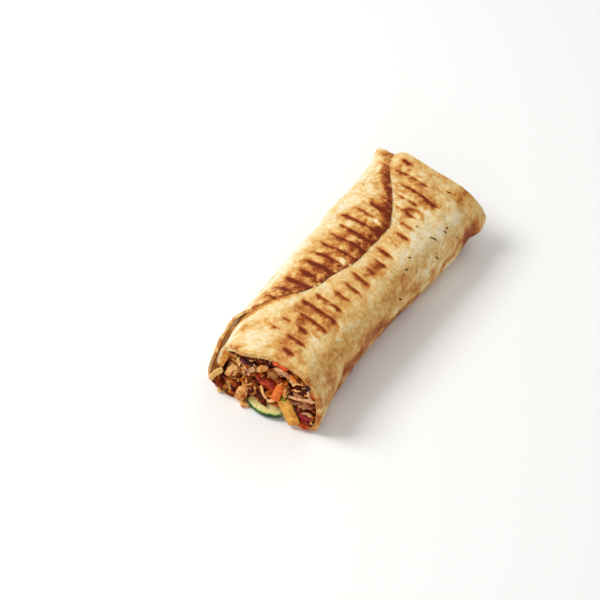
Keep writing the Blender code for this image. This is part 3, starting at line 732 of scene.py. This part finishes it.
def within_lip(loose):
    """The points drawn in towards the middle of the cut where they would cross the bread."""
    across, up = loose[:, 0], loose[:, 2] - HEART
    most = np.interp(np.arctan2(up, across), lip_angle, lip_reach, period=2 * math.pi)
    scale = np.minimum(1, most / np.maximum(np.hypot(across, up), 0.1))
    return np.stack([across * scale, loose[:, 1], HEART + up * scale], -1)


# Where a larger piece shows at the cut (x, z, half width, half height), the shreds keep behind it.
KEEP_CLEAR = (
    (-0.5, 20.2, 8.0, 8.0), (8.6, 21.0, 4.2, 8.6), (0.2, 3.0, 12.0, 4.4), (15.8, 10.4, 6.6, 9.2),
    (-20.8, 20.6, 5.2, 5.0), (-13.8, 8.2, 4.6, 5.2), (10.3, 35.0, 7.6, 2.6), (22.7, 22.4, 6.6, 3.2),
    (23.8, 11.0, 4.6, 4.2),
)


def crowded(x, z, share):
    """Whether a place at the cut lies within this share of a larger piece's reach."""
    return any(((x - a) / w) ** 2 + ((z - b) / h) ** 2 < share for a, b, w, h in KEEP_CLEAR)


def in_cut(x, z, depth):
    """The place at x and z, this deep behind the slanting cut."""
    return Vector((x, CUT_Y + forward(x, z) + depth, z))


rng = np.random.default_rng(11)
left, right, top = (through(size, CUT_Y) for size in (LEFT_WIDTH, RIGHT_WIDTH, TOP_HEIGHT))
meat_parts = []
levels, across_cut = 11, 15
for level in range(levels):
    for number in range(across_cut):
        place_x = 5 - left + (left + right - 10) * (number + 0.5 * (level % 2)) / (across_cut - 0.5)
        place_x += rng.uniform(-1.4, 1.4)
        place_z = 5.5 + (top - 11) * level / (levels - 1) + rng.uniform(-1.3, 1.3)
        behind_piece = crowded(place_x, place_z, 1.0)
        depth = rng.uniform(0.6, 4.2) + (3.6 if behind_piece else 0.0)
        middle = in_cut(place_x, place_z, depth)
        along = Vector((rng.uniform(-1, 1), rng.uniform(-0.45, 0.45), rng.uniform(-0.8, 0.8))).normalized()
        bow = Vector((rng.uniform(-1, 1), rng.uniform(-1, 0.2), rng.uniform(-1, 1)))
        half = along * rng.uniform(2.8, 5.8) * (0.6 if behind_piece else 1.0)
        if place_z - abs(half.z) < 7.0 and abs(place_x) < 13.0:
            half.z *= 0.25
        path = [middle - half, middle + bow, middle + half]
        facing = (rng.uniform(-0.8, 0.8), -1.0, rng.uniform(-0.6, 1.2))
        wide, thick = rng.uniform(1.7, 3.8), rng.uniform(1.1, 2.2)
        seed = level * across_cut + number
        shred_points, shred_faces = strand(
            path, wide, thick, seed, sides=12, steps=13, face=facing, fibres=0.35, ragged=2.2
        )
        meat_parts.append((within_lip(shred_points), shred_faces, rng.uniform(0, 1) ** 1.5))
# Fine shavings lie over and between the strips.
shavings = 210
for number in range(shavings):
    place_x, place_z = rng.uniform(4 - left, right - 4), rng.uniform(4.0, top - 4)
    depth = rng.uniform(-0.2, 2.4) + (2.0 if crowded(place_x, place_z, 0.8) else 0.0)
    middle = in_cut(place_x, place_z, depth)
    along = Vector((rng.uniform(-1, 1), rng.uniform(-0.5, 0.5), rng.uniform(-1, 1))).normalized()
    half = along * rng.uniform(0.9, 2.4)
    bow = Vector((rng.uniform(-0.5, 0.5), -0.4, rng.uniform(-0.5, 0.5)))
    path = [middle - half, middle + bow, middle + half]
    wide, thick = rng.uniform(0.6, 1.5), rng.uniform(0.4, 0.8)
    bit_points, bit_faces = strand(path, wide, thick, 500 + number, sides=8, steps=8, fibres=0.4)
    meat_parts.append((within_lip(bit_points), bit_faces, rng.uniform(0.05, 1.1)))
meat = join_parts("meat_shreds", meat_parts)

# Roast chicken: beige where it tore and red-brown where spice and heat reached it, in patches of
# about 6 mm and a grain of 2.4 mm, with a thin coat of juice over a matt, fibrous surface.
shaved, shader = new_finish("shaved_meat", {
    "IOR": 1.42, "Roughness": 0.36, "Specular IOR Level": 0.05, "Coat Weight": 0.16,
    "Coat Roughness": 0.12, "Subsurface Weight": 0.1, "Subsurface Radius": (1.0, 0.35, 0.2),
    "Subsurface Scale": 0.0012,
})
where = add(shaved, "ShaderNodeTexCoord").outputs["Object"]
tone_at = add(shaved, "ShaderNodeAttribute", attribute_name="tone").outputs["Fac"]
mottle = add(
    shaved, "ShaderNodeTexNoise", {"Vector": where, "Scale": 420, "Detail": 5, "Roughness": 0.65}
).outputs["Fac"]
stains = add(
    shaved, "ShaderNodeTexNoise", {"Vector": where, "Scale": 170, "Detail": 3, "Roughness": 0.5}
).outputs["Fac"]
toned = tone_at
for pattern, least, most in ((mottle, -0.3, 0.3), (stains, -0.25, 0.25)):
    shift = add(
        shaved, "ShaderNodeMapRange", {"Value": pattern, 1: 0.3, 2: 0.7, 3: least, 4: most}
    ).outputs[0]
    toned = add(shaved, "ShaderNodeMath", {0: toned, 1: shift}, operation="ADD").outputs[0]
browns = add(shaved, "ShaderNodeValToRGB", {0: toned})
ramp_stops = browns.color_ramp.elements
ramp_stops[0].position, ramp_stops[0].color = 0.0, colour("4A0A00")
ramp_stops[1].position, ramp_stops[1].color = 1.0, colour("F4BC78")
for position, hex_value in ((0.22, "6E1F00"), (0.42, "9C400A"), (0.62, "C2691F"), (0.8, "DE9144")):
    stop = ramp_stops.new(position)
    stop.color = colour(hex_value)
shaved.node_tree.links.new(browns.outputs[0], shader.inputs["Base Color"])
torn = add(
    shaved, "ShaderNodeBump", {"Strength": 0.7, "Distance": 0.0006, "Height": mottle}
).outputs[0]
shaved.node_tree.links.new(torn, shader.inputs["Normal"])
meat.data.materials.append(shaved)

chicken_left = join_parts(
    "chicken_chunk_left", torn_bundle((-20.8, -85.8, 20.4), 10.6, 7.4, (0, -62, 10), 5, 0.8)
)
chicken_low = join_parts(
    "chicken_chunk_low", torn_bundle((-13.8, -89.0, 8.0), 9.0, 6.6, (0, -72, 0), 8, 0.85)
)
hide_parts("chicken_piece_left")
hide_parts("chicken_piece_low")
for chunk in (chicken_left, chicken_low):
    chunk.data.materials.append(shaved)
small_chunks = join_parts("chicken_bits", [
    *torn_bundle((-7.4, -86.8, 11.8), 6.4, 4.2, (0, -60, 20), 21, 0.8),
    *torn_bundle((-15.4, -89.0, 3.2), 7.0, 4.2, (0, 12, 0), 22, 0.9),
    *torn_bundle((-10.8, -91.4, 1.7), 4.8, 2.8, (0, 4, 30), 27, 0.95),
    *torn_bundle((-20.4, -88.0, 12.4), 6.6, 4.4, (0, 40, 0), 23, 0.55),
    *torn_bundle((-19.6, -88.6, 5.0), 6.0, 4.4, (20, -20, 0), 24, 0.5),
    *torn_bundle((-30.4, -88.4, 8.0), 8.0, 5.6, (0, 30, 0), 25, 0.4),
    *torn_bundle((-26.0, -88.4, 4.8), 6.8, 4.6, (0, -30, 0), 26, 0.5),
    *torn_bundle((2.6, -86.6, 13.4), 5.4, 3.6, (0, 20, 0), 28, 0.7),
    *strips([
        ((-4.6, -86.2, 27.8), (-3.0, -87.0, 32.0), (1.6, -86.6, 34.8), 3.4, 2.2, 29, 0.95),
        ((-25.0, -86.0, 25.4), (-24.2, -87.4, 29.6), (-21.8, -87.0, 33.0), 3.6, 1.8, 30, 0.6),
        ((-2.8, -87.4, 18.6), (-0.6, -88.6, 14.6), (2.2, -89.2, 11.4), 1.7, 1.2, 41, 1.05),
        ((6.6, -88.4, 13.8), (4.4, -89.0, 11.8), (2.0, -89.2, 10.8), 2.0, 1.4, 42, 1.05),
    ]),
])
small_chunks.data.materials.append(shaved)


# The tomato --------------------------------------------------------------------------------------
# Ripe tomato, diced by hand and softened by the heat: deep red, and orange where the light gets
# into its wet flesh. One large dice shows in the middle of the cut, and smaller ones round it.


def wet_flesh(name, dark, pale, roughness, grain_size, see_into, bump=0.5):
    """Moist vegetable flesh: two tones mixed in grains of the size given (mm), light passing in."""
    flesh, skin = new_finish(name, {
        "IOR": 1.37, "Roughness": roughness, "Specular IOR Level": 0.1, "Coat Weight": 0.2,
        "Coat Roughness": 0.08, "Subsurface Weight": see_into,
        "Subsurface Radius": (1.0, 0.6, 0.4), "Subsurface Scale": 0.002,
    })
    place_at = add(flesh, "ShaderNodeTexCoord").outputs["Object"]
    tone = add(flesh, "ShaderNodeAttribute", attribute_name="tone").outputs["Fac"]
    grains = add(
        flesh, "ShaderNodeTexNoise",
        {"Vector": place_at, "Scale": 1000 / grain_size, "Detail": 4, "Roughness": 0.6},
    ).outputs["Fac"]
    spread = add(
        flesh, "ShaderNodeMapRange", {"Value": grains, 1: 0.32, 2: 0.68, 3: -0.5, 4: 0.5}
    ).outputs[0]
    amount = add(
        flesh, "ShaderNodeMath", {0: tone, 1: spread}, operation="ADD", use_clamp=True
    ).outputs[0]
    blend = add(
        flesh, "ShaderNodeMix", {0: amount, 6: colour(dark), 7: colour(pale)}, data_type="RGBA"
    ).outputs[2]
    flesh.node_tree.links.new(blend, skin.inputs["Base Color"])
    uneven = add(
        flesh, "ShaderNodeBump", {"Strength": bump, "Distance": 0.0005, "Height": grains}
    ).outputs[0]
    flesh.node_tree.links.new(uneven, skin.inputs["Normal"])
    return flesh


tomato_flesh = wet_flesh(
    "ripe_tomato_flesh", "8E1805", "DC5420", roughness=0.2, grain_size=2.6, see_into=0.2
)
tomato = join_parts("tomato_dice", [
    (*lump((-0.5, -83.6, 19.8), (12.6, 6.4, 11.6), (8, 12, 4), 3, square=0.45, rough=0.3), 0.45),
])
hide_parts("tomato_piece")
tomato_bits = join_parts("tomato_bits", [
    *[
        (*lump(centre, size, turned, seed, square=0.3, rough=0.4), tone)
        for centre, size, turned, seed, tone in (
            ((11.2, -86.6, 40.4), (5.6, 3, 2.6), (0, 14, 0), 31, 1.0),
            ((6.6, -86.8, 41.2), (3.4, 2.4, 2.0), (0, -20, 0), 36, 0.8),
            ((23.6, -88.0, 3.6), (7, 4.4, 3.6), (0, -12, 0), 32, 0.8),
            ((5.2, -86.6, 20.2), (5.0, 4.0, 4.4), (0, 30, 0), 33, 0.5),
            ((-4.6, -86.0, 23.4), (5.4, 4, 3.4), (0, 50, 0), 34, 0.3),
        )
    ],
    *strips([
        ((20.4, -87.6, 5.6), (23.0, -88.6, 4.4), (26.0, -88.4, 2.8), 2.4, 1.6, 37, 0.9),
        ((28.0, -85.6, 31.6), (28.6, -86.4, 28.6), (28.0, -86.2, 25.6), 2.8, 1.4, 38, 1.0),
    ]),
])
for piece in (tomato, tomato_bits):
    piece.data.materials.append(tomato_flesh)


# The carrot --------------------------------------------------------------------------------------
# Raw carrot, cut in sticks and shreds: dense and bright orange, with a thin gloss of juice. One
# thick stick stands in the middle of the cut.

carrot_flesh = wet_flesh(
    "carrot_flesh", "D2500C", "F4862A", roughness=0.3, grain_size=1.8, see_into=0.2
)
carrot = join_parts("carrot_stick", [
    (*strand([(10.4, -88.0, 27.6), (8.8, -88.9, 21.0), (6.6, -89.4, 14.6)], 4.8, 3.0, 2,
             fibres=0.14, uneven=0.15, blunt=14), 0.5),
])
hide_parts("carrot_strip")
carrot_bits = join_parts("carrot_shreds", strips([
    ((15.6, -86.8, 37.6), (17.6, -86.4, 35.2), (18.4, -86.6, 32.8), 2.4, 1.4, 43, 0.9),
    ((-17.0, -87.0, 14.6), (-14.4, -87.8, 16.0), (-11.0, -87.4, 15.0), 1.8, 1.2, 44, 0.3),
]))
for piece in (carrot, carrot_bits):
    piece.data.materials.append(carrot_flesh)


# The pepper --------------------------------------------------------------------------------------
# Yellow pepper, sliced: golden and smooth, stained brown-orange by the sauce. A broad slice leans
# out over the lower lip of the cut, and a narrow one stands at its upper left.

pepper_flesh = wet_flesh(
    "yellow_pepper_flesh", "B8640F", "F4B852", roughness=0.3, grain_size=2.4, see_into=0.2, bump=0.9
)
pepper = join_parts("pepper_slice", [
    (*strand([(11.6, -88.4, 17.0), (16.0, -90.0, 10.4), (20.2, -91.0, 3.4)], 8.4, 2.0, 6,
             sides=24, steps=44, fibres=0.07, ragged=1.2, uneven=0.12, blunt=20), 0.6),
])
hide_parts("pepper_strip")
pepper_bits = join_parts("pepper_bits", [
    (*strand([(-22.6, -87.4, 36.2), (-24.8, -88.6, 29.8), (-27.0, -89.6, 22.2)], 3.4, 1.4, 16,
             fibres=0.1), 0.4),
])
for piece in (pepper, pepper_bits):
    piece.data.materials.append(pepper_flesh)


# The onion ---------------------------------------------------------------------------------------
# Onion, sliced and softened: translucent, pinkish tan with the sauce it took up. Two broad slices
# show, one at the top and one at the right, with thin ones round them.

onion_flesh = wet_flesh(
    "softened_onion", "86390F", "E6AC78", roughness=0.2, grain_size=2.6, see_into=0.3
)
onion_top = join_parts("onion_slice_top", strips([
    ((3.6, -85.0, 33.2), (10.0, -85.4, 34.8), (17.0, -85.0, 33.6), 4.4, 2.0, 7, 0.75),
]))
onion_right = join_parts("onion_slice_right", strips([
    ((17.0, -86.6, 24.6), (23.0, -86.6, 22.0), (28.4, -86.0, 20.0), 4.6, 1.8, 8, 0.5),
]))
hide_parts("onion_strip_top")
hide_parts("onion_strip_right")
onion_bits = join_parts("onion_bits", strips([
    ((-14.1, -87.4, 21.7), (-10.4, -87.6, 25.8), (-6.6, -87.0, 30.6), 3.4, 1.4, 51, 0.7),
    ((13.8, -88.0, 21.0), (21.0, -88.0, 22.6), (31.2, -87.6, 25.8), 2.0, 1.1, 52, 0.8),
    ((14.8, -87.6, 17.2), (21.0, -88.0, 18.2), (29.6, -87.6, 20.4), 2.6, 1.2, 53, 0.2),
    ((26.2, -86.8, 31.0), (27.6, -87.4, 26.6), (28.6, -87.6, 22.6), 2.2, 1.2, 54, 0.7),
    ((5.6, -86.8, 36.4), (10.4, -87.2, 38.4), (15.0, -86.6, 38.4), 2.2, 1.2, 55, 0.8),
    ((20.0, -88.0, 12.6), (24.0, -88.6, 13.8), (29.0, -88.2, 14.8), 1.8, 1.0, 56, 0.5),
    ((-24.6, -87.6, 13.0), (-22.0, -88.2, 15.4), (-18.2, -88.0, 15.6), 2.2, 1.2, 57, 0.4),
]))
for piece in (onion_top, onion_right, onion_bits):
    piece.data.materials.append(onion_flesh)


# The white cabbage -------------------------------------------------------------------------------
# White cabbage, shredded raw: pale yellow ribs, tan where the juice reached them. One long shred
# shows at the left, beside the loose corner.

cabbage_flesh = wet_flesh(
    "white_cabbage", "A3692A", "E8C070", roughness=0.3, grain_size=2.6, see_into=0.25
)
cabbage_shred = join_parts("cabbage_shred", [
    (*strand([(-33.6, -91.2, 8.2), (-30.2, -90.8, 14.6), (-25.6, -89.9, 20.4)], 3.2, 1.3, 9,
             fibres=0.08, uneven=0.15, blunt=12), 0.7),
])
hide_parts("cabbage_strip")
cabbage_bits = join_parts("cabbage_bits", strips([
    ((-27.6, -88.6, 6.4), (-27.8, -90.4, 3.2), (-28.0, -91.0, 0.8), 2.8, 1.1, 61, 0.9),
    ((-33.6, -88.2, 5.4), (-30.0, -89.4, 4.4), (-26.0, -89.4, 4.6), 2.6, 1.4, 62, 0.2),
    ((-24.6, -88.4, 11.0), (-21.6, -89.0, 8.2), (-21.0, -89.4, 4.2), 3.0, 1.2, 63, 0.35),
    ((9.4, -88.0, 12.0), (12.0, -88.6, 13.6), (15.0, -88.2, 15.6), 2.4, 1.2, 64, 0.1),
    ((1.4, -86.4, 29.6), (4.4, -87.0, 31.8), (7.4, -86.4, 30.4), 4.6, 2.4, 65, -0.35),
]))
for piece in (cabbage_shred, cabbage_bits):
    piece.data.materials.append(cabbage_flesh)


# The red cabbage ---------------------------------------------------------------------------------
# Red cabbage, shredded: purple-red to nearly black. The largest piece sits at the lower right of the cut.
# The strip just under the overhanging lip at the top left is given the darkest tone, as painted shade under
# that lip.

red_cabbage_flesh = wet_flesh(
    "red_cabbage", "430508", "AC2C30", roughness=0.22, grain_size=2.2, see_into=0.12
)
red_cabbage = join_parts("red_cabbage_piece", [
    (*lump((23.8, -85.4, 11.0), (8.0, 5.6, 7.0), (0, 10, 0), 11, rough=0.35), 0.5),
])
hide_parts("cabbage_piece")
red_cabbage_bits = join_parts("red_cabbage_bits", strips([
    # The first strip, under the lip, is set to the darkest tone: painted shade.
    ((-15.6, -86.6, 31.0), (-11.6, -87.4, 32.4), (-8.0, -86.8, 30.6), 4.2, 1.8, 71, 0.0),
    ((23.4, -86.0, 37.0), (27.0, -86.6, 34.4), (29.6, -86.2, 29.6), 4.6, 1.8, 72, -0.1),
    ((20.6, -87.8, 9.8), (24.6, -88.4, 10.8), (29.0, -88.0, 10.6), 2.6, 1.2, 73, 0.9),
    ((-6.0, -87.4, 8.4), (-2.6, -87.8, 10.6), (1.0, -87.6, 9.4), 3.0, 1.4, 74, 0.0),
    ((21.6, -88.0, 6.6), (25.2, -88.6, 7.4), (28.6, -88.0, 6.2), 2.2, 1.2, 75, 0.5),
]))
for piece in (red_cabbage, red_cabbage_bits):
    piece.data.materials.append(red_cabbage_flesh)


# The cucumber ------------------------------------------------------------------------------------
# A piece of a thick raw slice that slopes down out of the cut: its thin, waxy, dark green rind is
# in front, then a light green ring and the pale wet flesh.

RADIUS, HALF_WIDE, DEEP, SLICE, SLOPE = 19.5, 10.4, 8.6, 3.0, math.radians(18)
SLICE_EDGE = 61  # places along the rind
back = np.array((0.0, math.cos(SLOPE), math.sin(SLOPE)))
upward = np.array((0.0, -math.sin(SLOPE), math.cos(SLOPE)))
front = np.array((0.2, -92.9, 2.1))
slice_points, slice_tones = [], []
# Each ring is (height in half thicknesses, distance in from the rind in mm).
slice_rings = ((-1.0, 10.0), (-1.0, 6.0), (-1.0, 3.0), (-1.0, 1.2), (-0.9, 0.3), (-0.6, 0.0), (0.0, -0.1),
               (0.6, 0.0), (0.9, 0.3), (1.0, 1.2), (1.0, 3.0), (1.0, 6.0), (1.0, 10.0))
for level, inward in slice_rings:
    for i in range(SLICE_EDGE):
        across = HALF_WIDE * (2 * i / (SLICE_EDGE - 1) - 1)
        narrowed = across * (1 - 0.012 * inward)
        behind = RADIUS - math.sqrt(RADIUS**2 - across**2) + inward
        behind = min(behind, DEEP) + 0.25 * noise.noise((across / 3, inward, 1.0))
        point = front + np.array((narrowed, 0.0, 0.0)) + back * behind
        wobble = 0.14 * noise.noise((point[0] / 2, point[1] / 2, level))
        slice_points.append(point + upward * (level * SLICE / 2 + wobble))
        slice_tones.append(1.0 - max(inward, 0.0) / 10.0)
ring_starts = [r * SLICE_EDGE for r in range(len(slice_rings))]
slice_faces = [
    (near + i, near + i + 1, far + i + 1, far + i)
    for near, far in zip(ring_starts, ring_starts[1:])
    for i in range(SLICE_EDGE - 1)
]
last = ring_starts[-1]
slice_faces += [(i, last + i, last + i + 1, i + 1) for i in range(SLICE_EDGE - 1)]
slice_faces.append(tuple(ring_starts))
slice_faces.append(tuple(start + SLICE_EDGE - 1 for start in reversed(ring_starts)))
cucumber = make_piece("cucumber_slice_end", slice_points, slice_faces, slice_tones)
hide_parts("cucumber_slice")

# The tone falls from 1 at the rind to 0 inside, a little uneven at about 2.5 mm.
rind, shader = new_finish("cucumber_rind_and_flesh", {
    "IOR": 1.37, "Roughness": 0.2, "Subsurface Weight": 0.15, "Subsurface Scale": 0.0015,
})
tone_at = add(rind, "ShaderNodeAttribute", attribute_name="tone").outputs["Fac"]
where = add(rind, "ShaderNodeTexCoord").outputs["Object"]
mottle = add(rind, "ShaderNodeTexNoise", {"Vector": where, "Scale": 400, "Detail": 3}).outputs["Fac"]
shift = add(
    rind, "ShaderNodeMapRange", {"Value": mottle, 1: 0.3, 2: 0.7, 3: -0.03, 4: 0.03}
).outputs[0]
depth_in = add(rind, "ShaderNodeMath", {0: tone_at, 1: shift}, operation="ADD").outputs[0]
greens = add(rind, "ShaderNodeValToRGB", {0: depth_in})
stops = greens.color_ramp.elements
stops[0].position, stops[0].color = 0.0, colour("DDB765")
stops[1].position, stops[1].color = 1.0, colour("16350B")
for position, hex_value in (
    (0.5, "E6D48E"), (0.8, "E0CD7C"), (0.88, "B7C266"), (0.93, "4F7F24"), (0.97, "24500F"),
):
    stop = stops.new(position)
    stop.color = colour(hex_value)
rind.node_tree.links.new(greens.outputs[0], shader.inputs["Base Color"])
cucumber.data.materials.append(rind)


# The parsley -------------------------------------------------------------------------------------
# Parsley, chopped: a few small leaves among the filling, dull olive, since the heat and the sauce
# took their green.

herb_leaf = wet_flesh("parsley", "4A4A08", "8C8426", roughness=0.35, grain_size=1.5, see_into=0.1)
herbs = join_parts("herb_bits", [
    (*strand([(-25.6, -89.8, 6.0), (-24.8, -90.2, 5.0), (-24.0, -90.2, 4.2)], 1.6, 0.7, 81, steps=10), 0.3),
    (*strand([(11.6, -88.6, 19.2), (12.8, -89.0, 17.8), (13.8, -88.8, 16.4)], 2.4, 0.9, 82, steps=12), 0.9),
    (*strand([(-23.2, -88.6, 9.6), (-21.6, -89.2, 8.6), (-20.4, -89.2, 7.0)], 1.6, 0.7, 83, steps=10), 0.8),
])
herbs.data.materials.append(herb_leaf)


# The scorched flecks -----------------------------------------------------------------------------
# Short slits where a crease in the sheet caught the heat and burned: thin, nearly black slivers
# pressed into the surface of the outer layer, each a few millimetres long.

FLECKS = (  # s across, y along, length, turned (degrees)
    (32.3, 40.4, 5.8, 27), (34.6, 53.6, 2.6, 77), (35.4, 50.6, 3.0, 20), (44.4, 57.9, 2.6, 27),
    (29.0, 18.9, 3.8, 36), (43.6, 37.2, 4.2, 32), (31.2, 11.0, 2.4, 45), (20.8, 39.4, 2.0, 65),
    (43.6, 0.4, 4.6, 33), (29.3, -27.4, 2.4, 34), (27.3, 56.8, 5.6, 39), (22.5, 76.0, 4.0, 25),
)
FLECK_SIDES, FLECK_RINGS = 8, 7
FLECK_HALF_WIDTH, FLECK_HALF_THICK, FLECK_PROUD = 0.42, 0.14, 0.05
fleck_points, fleck_faces = [], []
for number, (across, along, length, turned) in enumerate(FLECKS):
    fleck_faces += tube_faces(FLECK_RINGS, FLECK_SIDES, len(fleck_points))
    turn_cos, turn_sin = math.cos(math.radians(turned)), math.sin(math.radians(turned))
    for i in range(FLECK_RINGS):
        t = i / (FLECK_RINGS - 1) * 2 - 1
        frayed_edge = 1 + 0.3 * noise.noise((t * 2, number, 0))
        half = FLECK_HALF_WIDTH * math.sqrt(max(1 - t * t, 0.02)) * frayed_edge
        for j in range(FLECK_SIDES):
            a = 2 * math.pi * j / FLECK_SIDES
            run, side = t * length / 2, half * math.cos(a)
            local_s = across + run * turn_cos - side * turn_sin
            local_y = along + run * turn_sin + side * turn_cos
            here = Section(local_y)
            base_x, base_z = here.at(np.array([local_s]), 0.0)
            bump = unevenness(base_x, np.array([local_y]), base_z)[0]
            px, pz = here.at(np.array([local_s]), bump + FLECK_PROUD + FLECK_HALF_THICK * math.sin(a))
            fleck_points.append((px[0], local_y, pz[0]))
flecks = make_piece("scorched_flecks", fleck_points, fleck_faces)
# Burnt crust: dry and dark brown, without a gloss.
soot = new_finish("scorched_crust", {
    "Base Color": colour("52260A"), "Roughness": 0.8, "Specular IOR Level": 0.05,
})[0]
flecks.data.materials.append(soot)


# The stage ---------------------------------------------------------------------------------------
# A plain floor of matt white paper, three soft lamps, the strongest at the upper left, an even low
# light from all sides, and a camera at the roll's front right.

bpy.ops.mesh.primitive_plane_add(size=6.0)
floor = bpy.context.object
floor.name = "floor"
paper = new_finish("white_paper", {
    "Base Color": colour("F7F7F5"), "Roughness": 0.9, "Specular IOR Level": 0.1,
})[0]
floor.data.materials.append(paper)

AIM = Vector(((AXIS_X - 17.51) * MM, (AXIS_Y - 23.77) * MM, 18.81 * MM))
AZIMUTH, ELEVATION, DISTANCE = math.radians(31.6), math.radians(47.0), 0.93
towards_camera = Vector((
    math.sin(AZIMUTH) * math.cos(ELEVATION), -math.cos(AZIMUTH) * math.cos(ELEVATION), math.sin(ELEVATION)
))
lens = bpy.data.cameras.new("camera")
lens.lens = 100.0
lens.clip_start, lens.clip_end = 0.01, 20.0
camera = bpy.data.objects.new("camera", lens)
bpy.context.scene.collection.objects.link(camera)
camera.location = AIM + towards_camera * DISTANCE
camera.rotation_euler = towards_camera.to_track_quat("Z", "Y").to_euler()
bpy.context.scene.camera = camera

LIGHTS = (  # name, place, size, watts
    ("key", (-0.75, -0.3, 1.0), 0.6, 12.0),
    ("fill", (0.4, -1.1, 0.8), 0.9, 3.0),
    ("back", (0.2, 0.9, 0.9), 0.8, 2.0),
)
for name, place, size, watts in LIGHTS:
    lamp = bpy.data.lights.new(name, "AREA")
    lamp.energy, lamp.size = watts, size
    holder = bpy.data.objects.new(name, lamp)
    bpy.context.scene.collection.objects.link(holder)
    holder.location = place
    holder.rotation_euler = (Vector(place) - AIM).to_track_quat("Z", "Y").to_euler()
world = bpy.data.worlds.new("studio")
bpy.context.scene.world = world
world.use_nodes = True
sky = world.node_tree.nodes["Background"].inputs
sky["Color"].default_value = (1.0, 1.0, 1.0, 1.0)
sky["Strength"].default_value = 0.42
bpy.context.scene.view_settings.view_transform = "Standard"
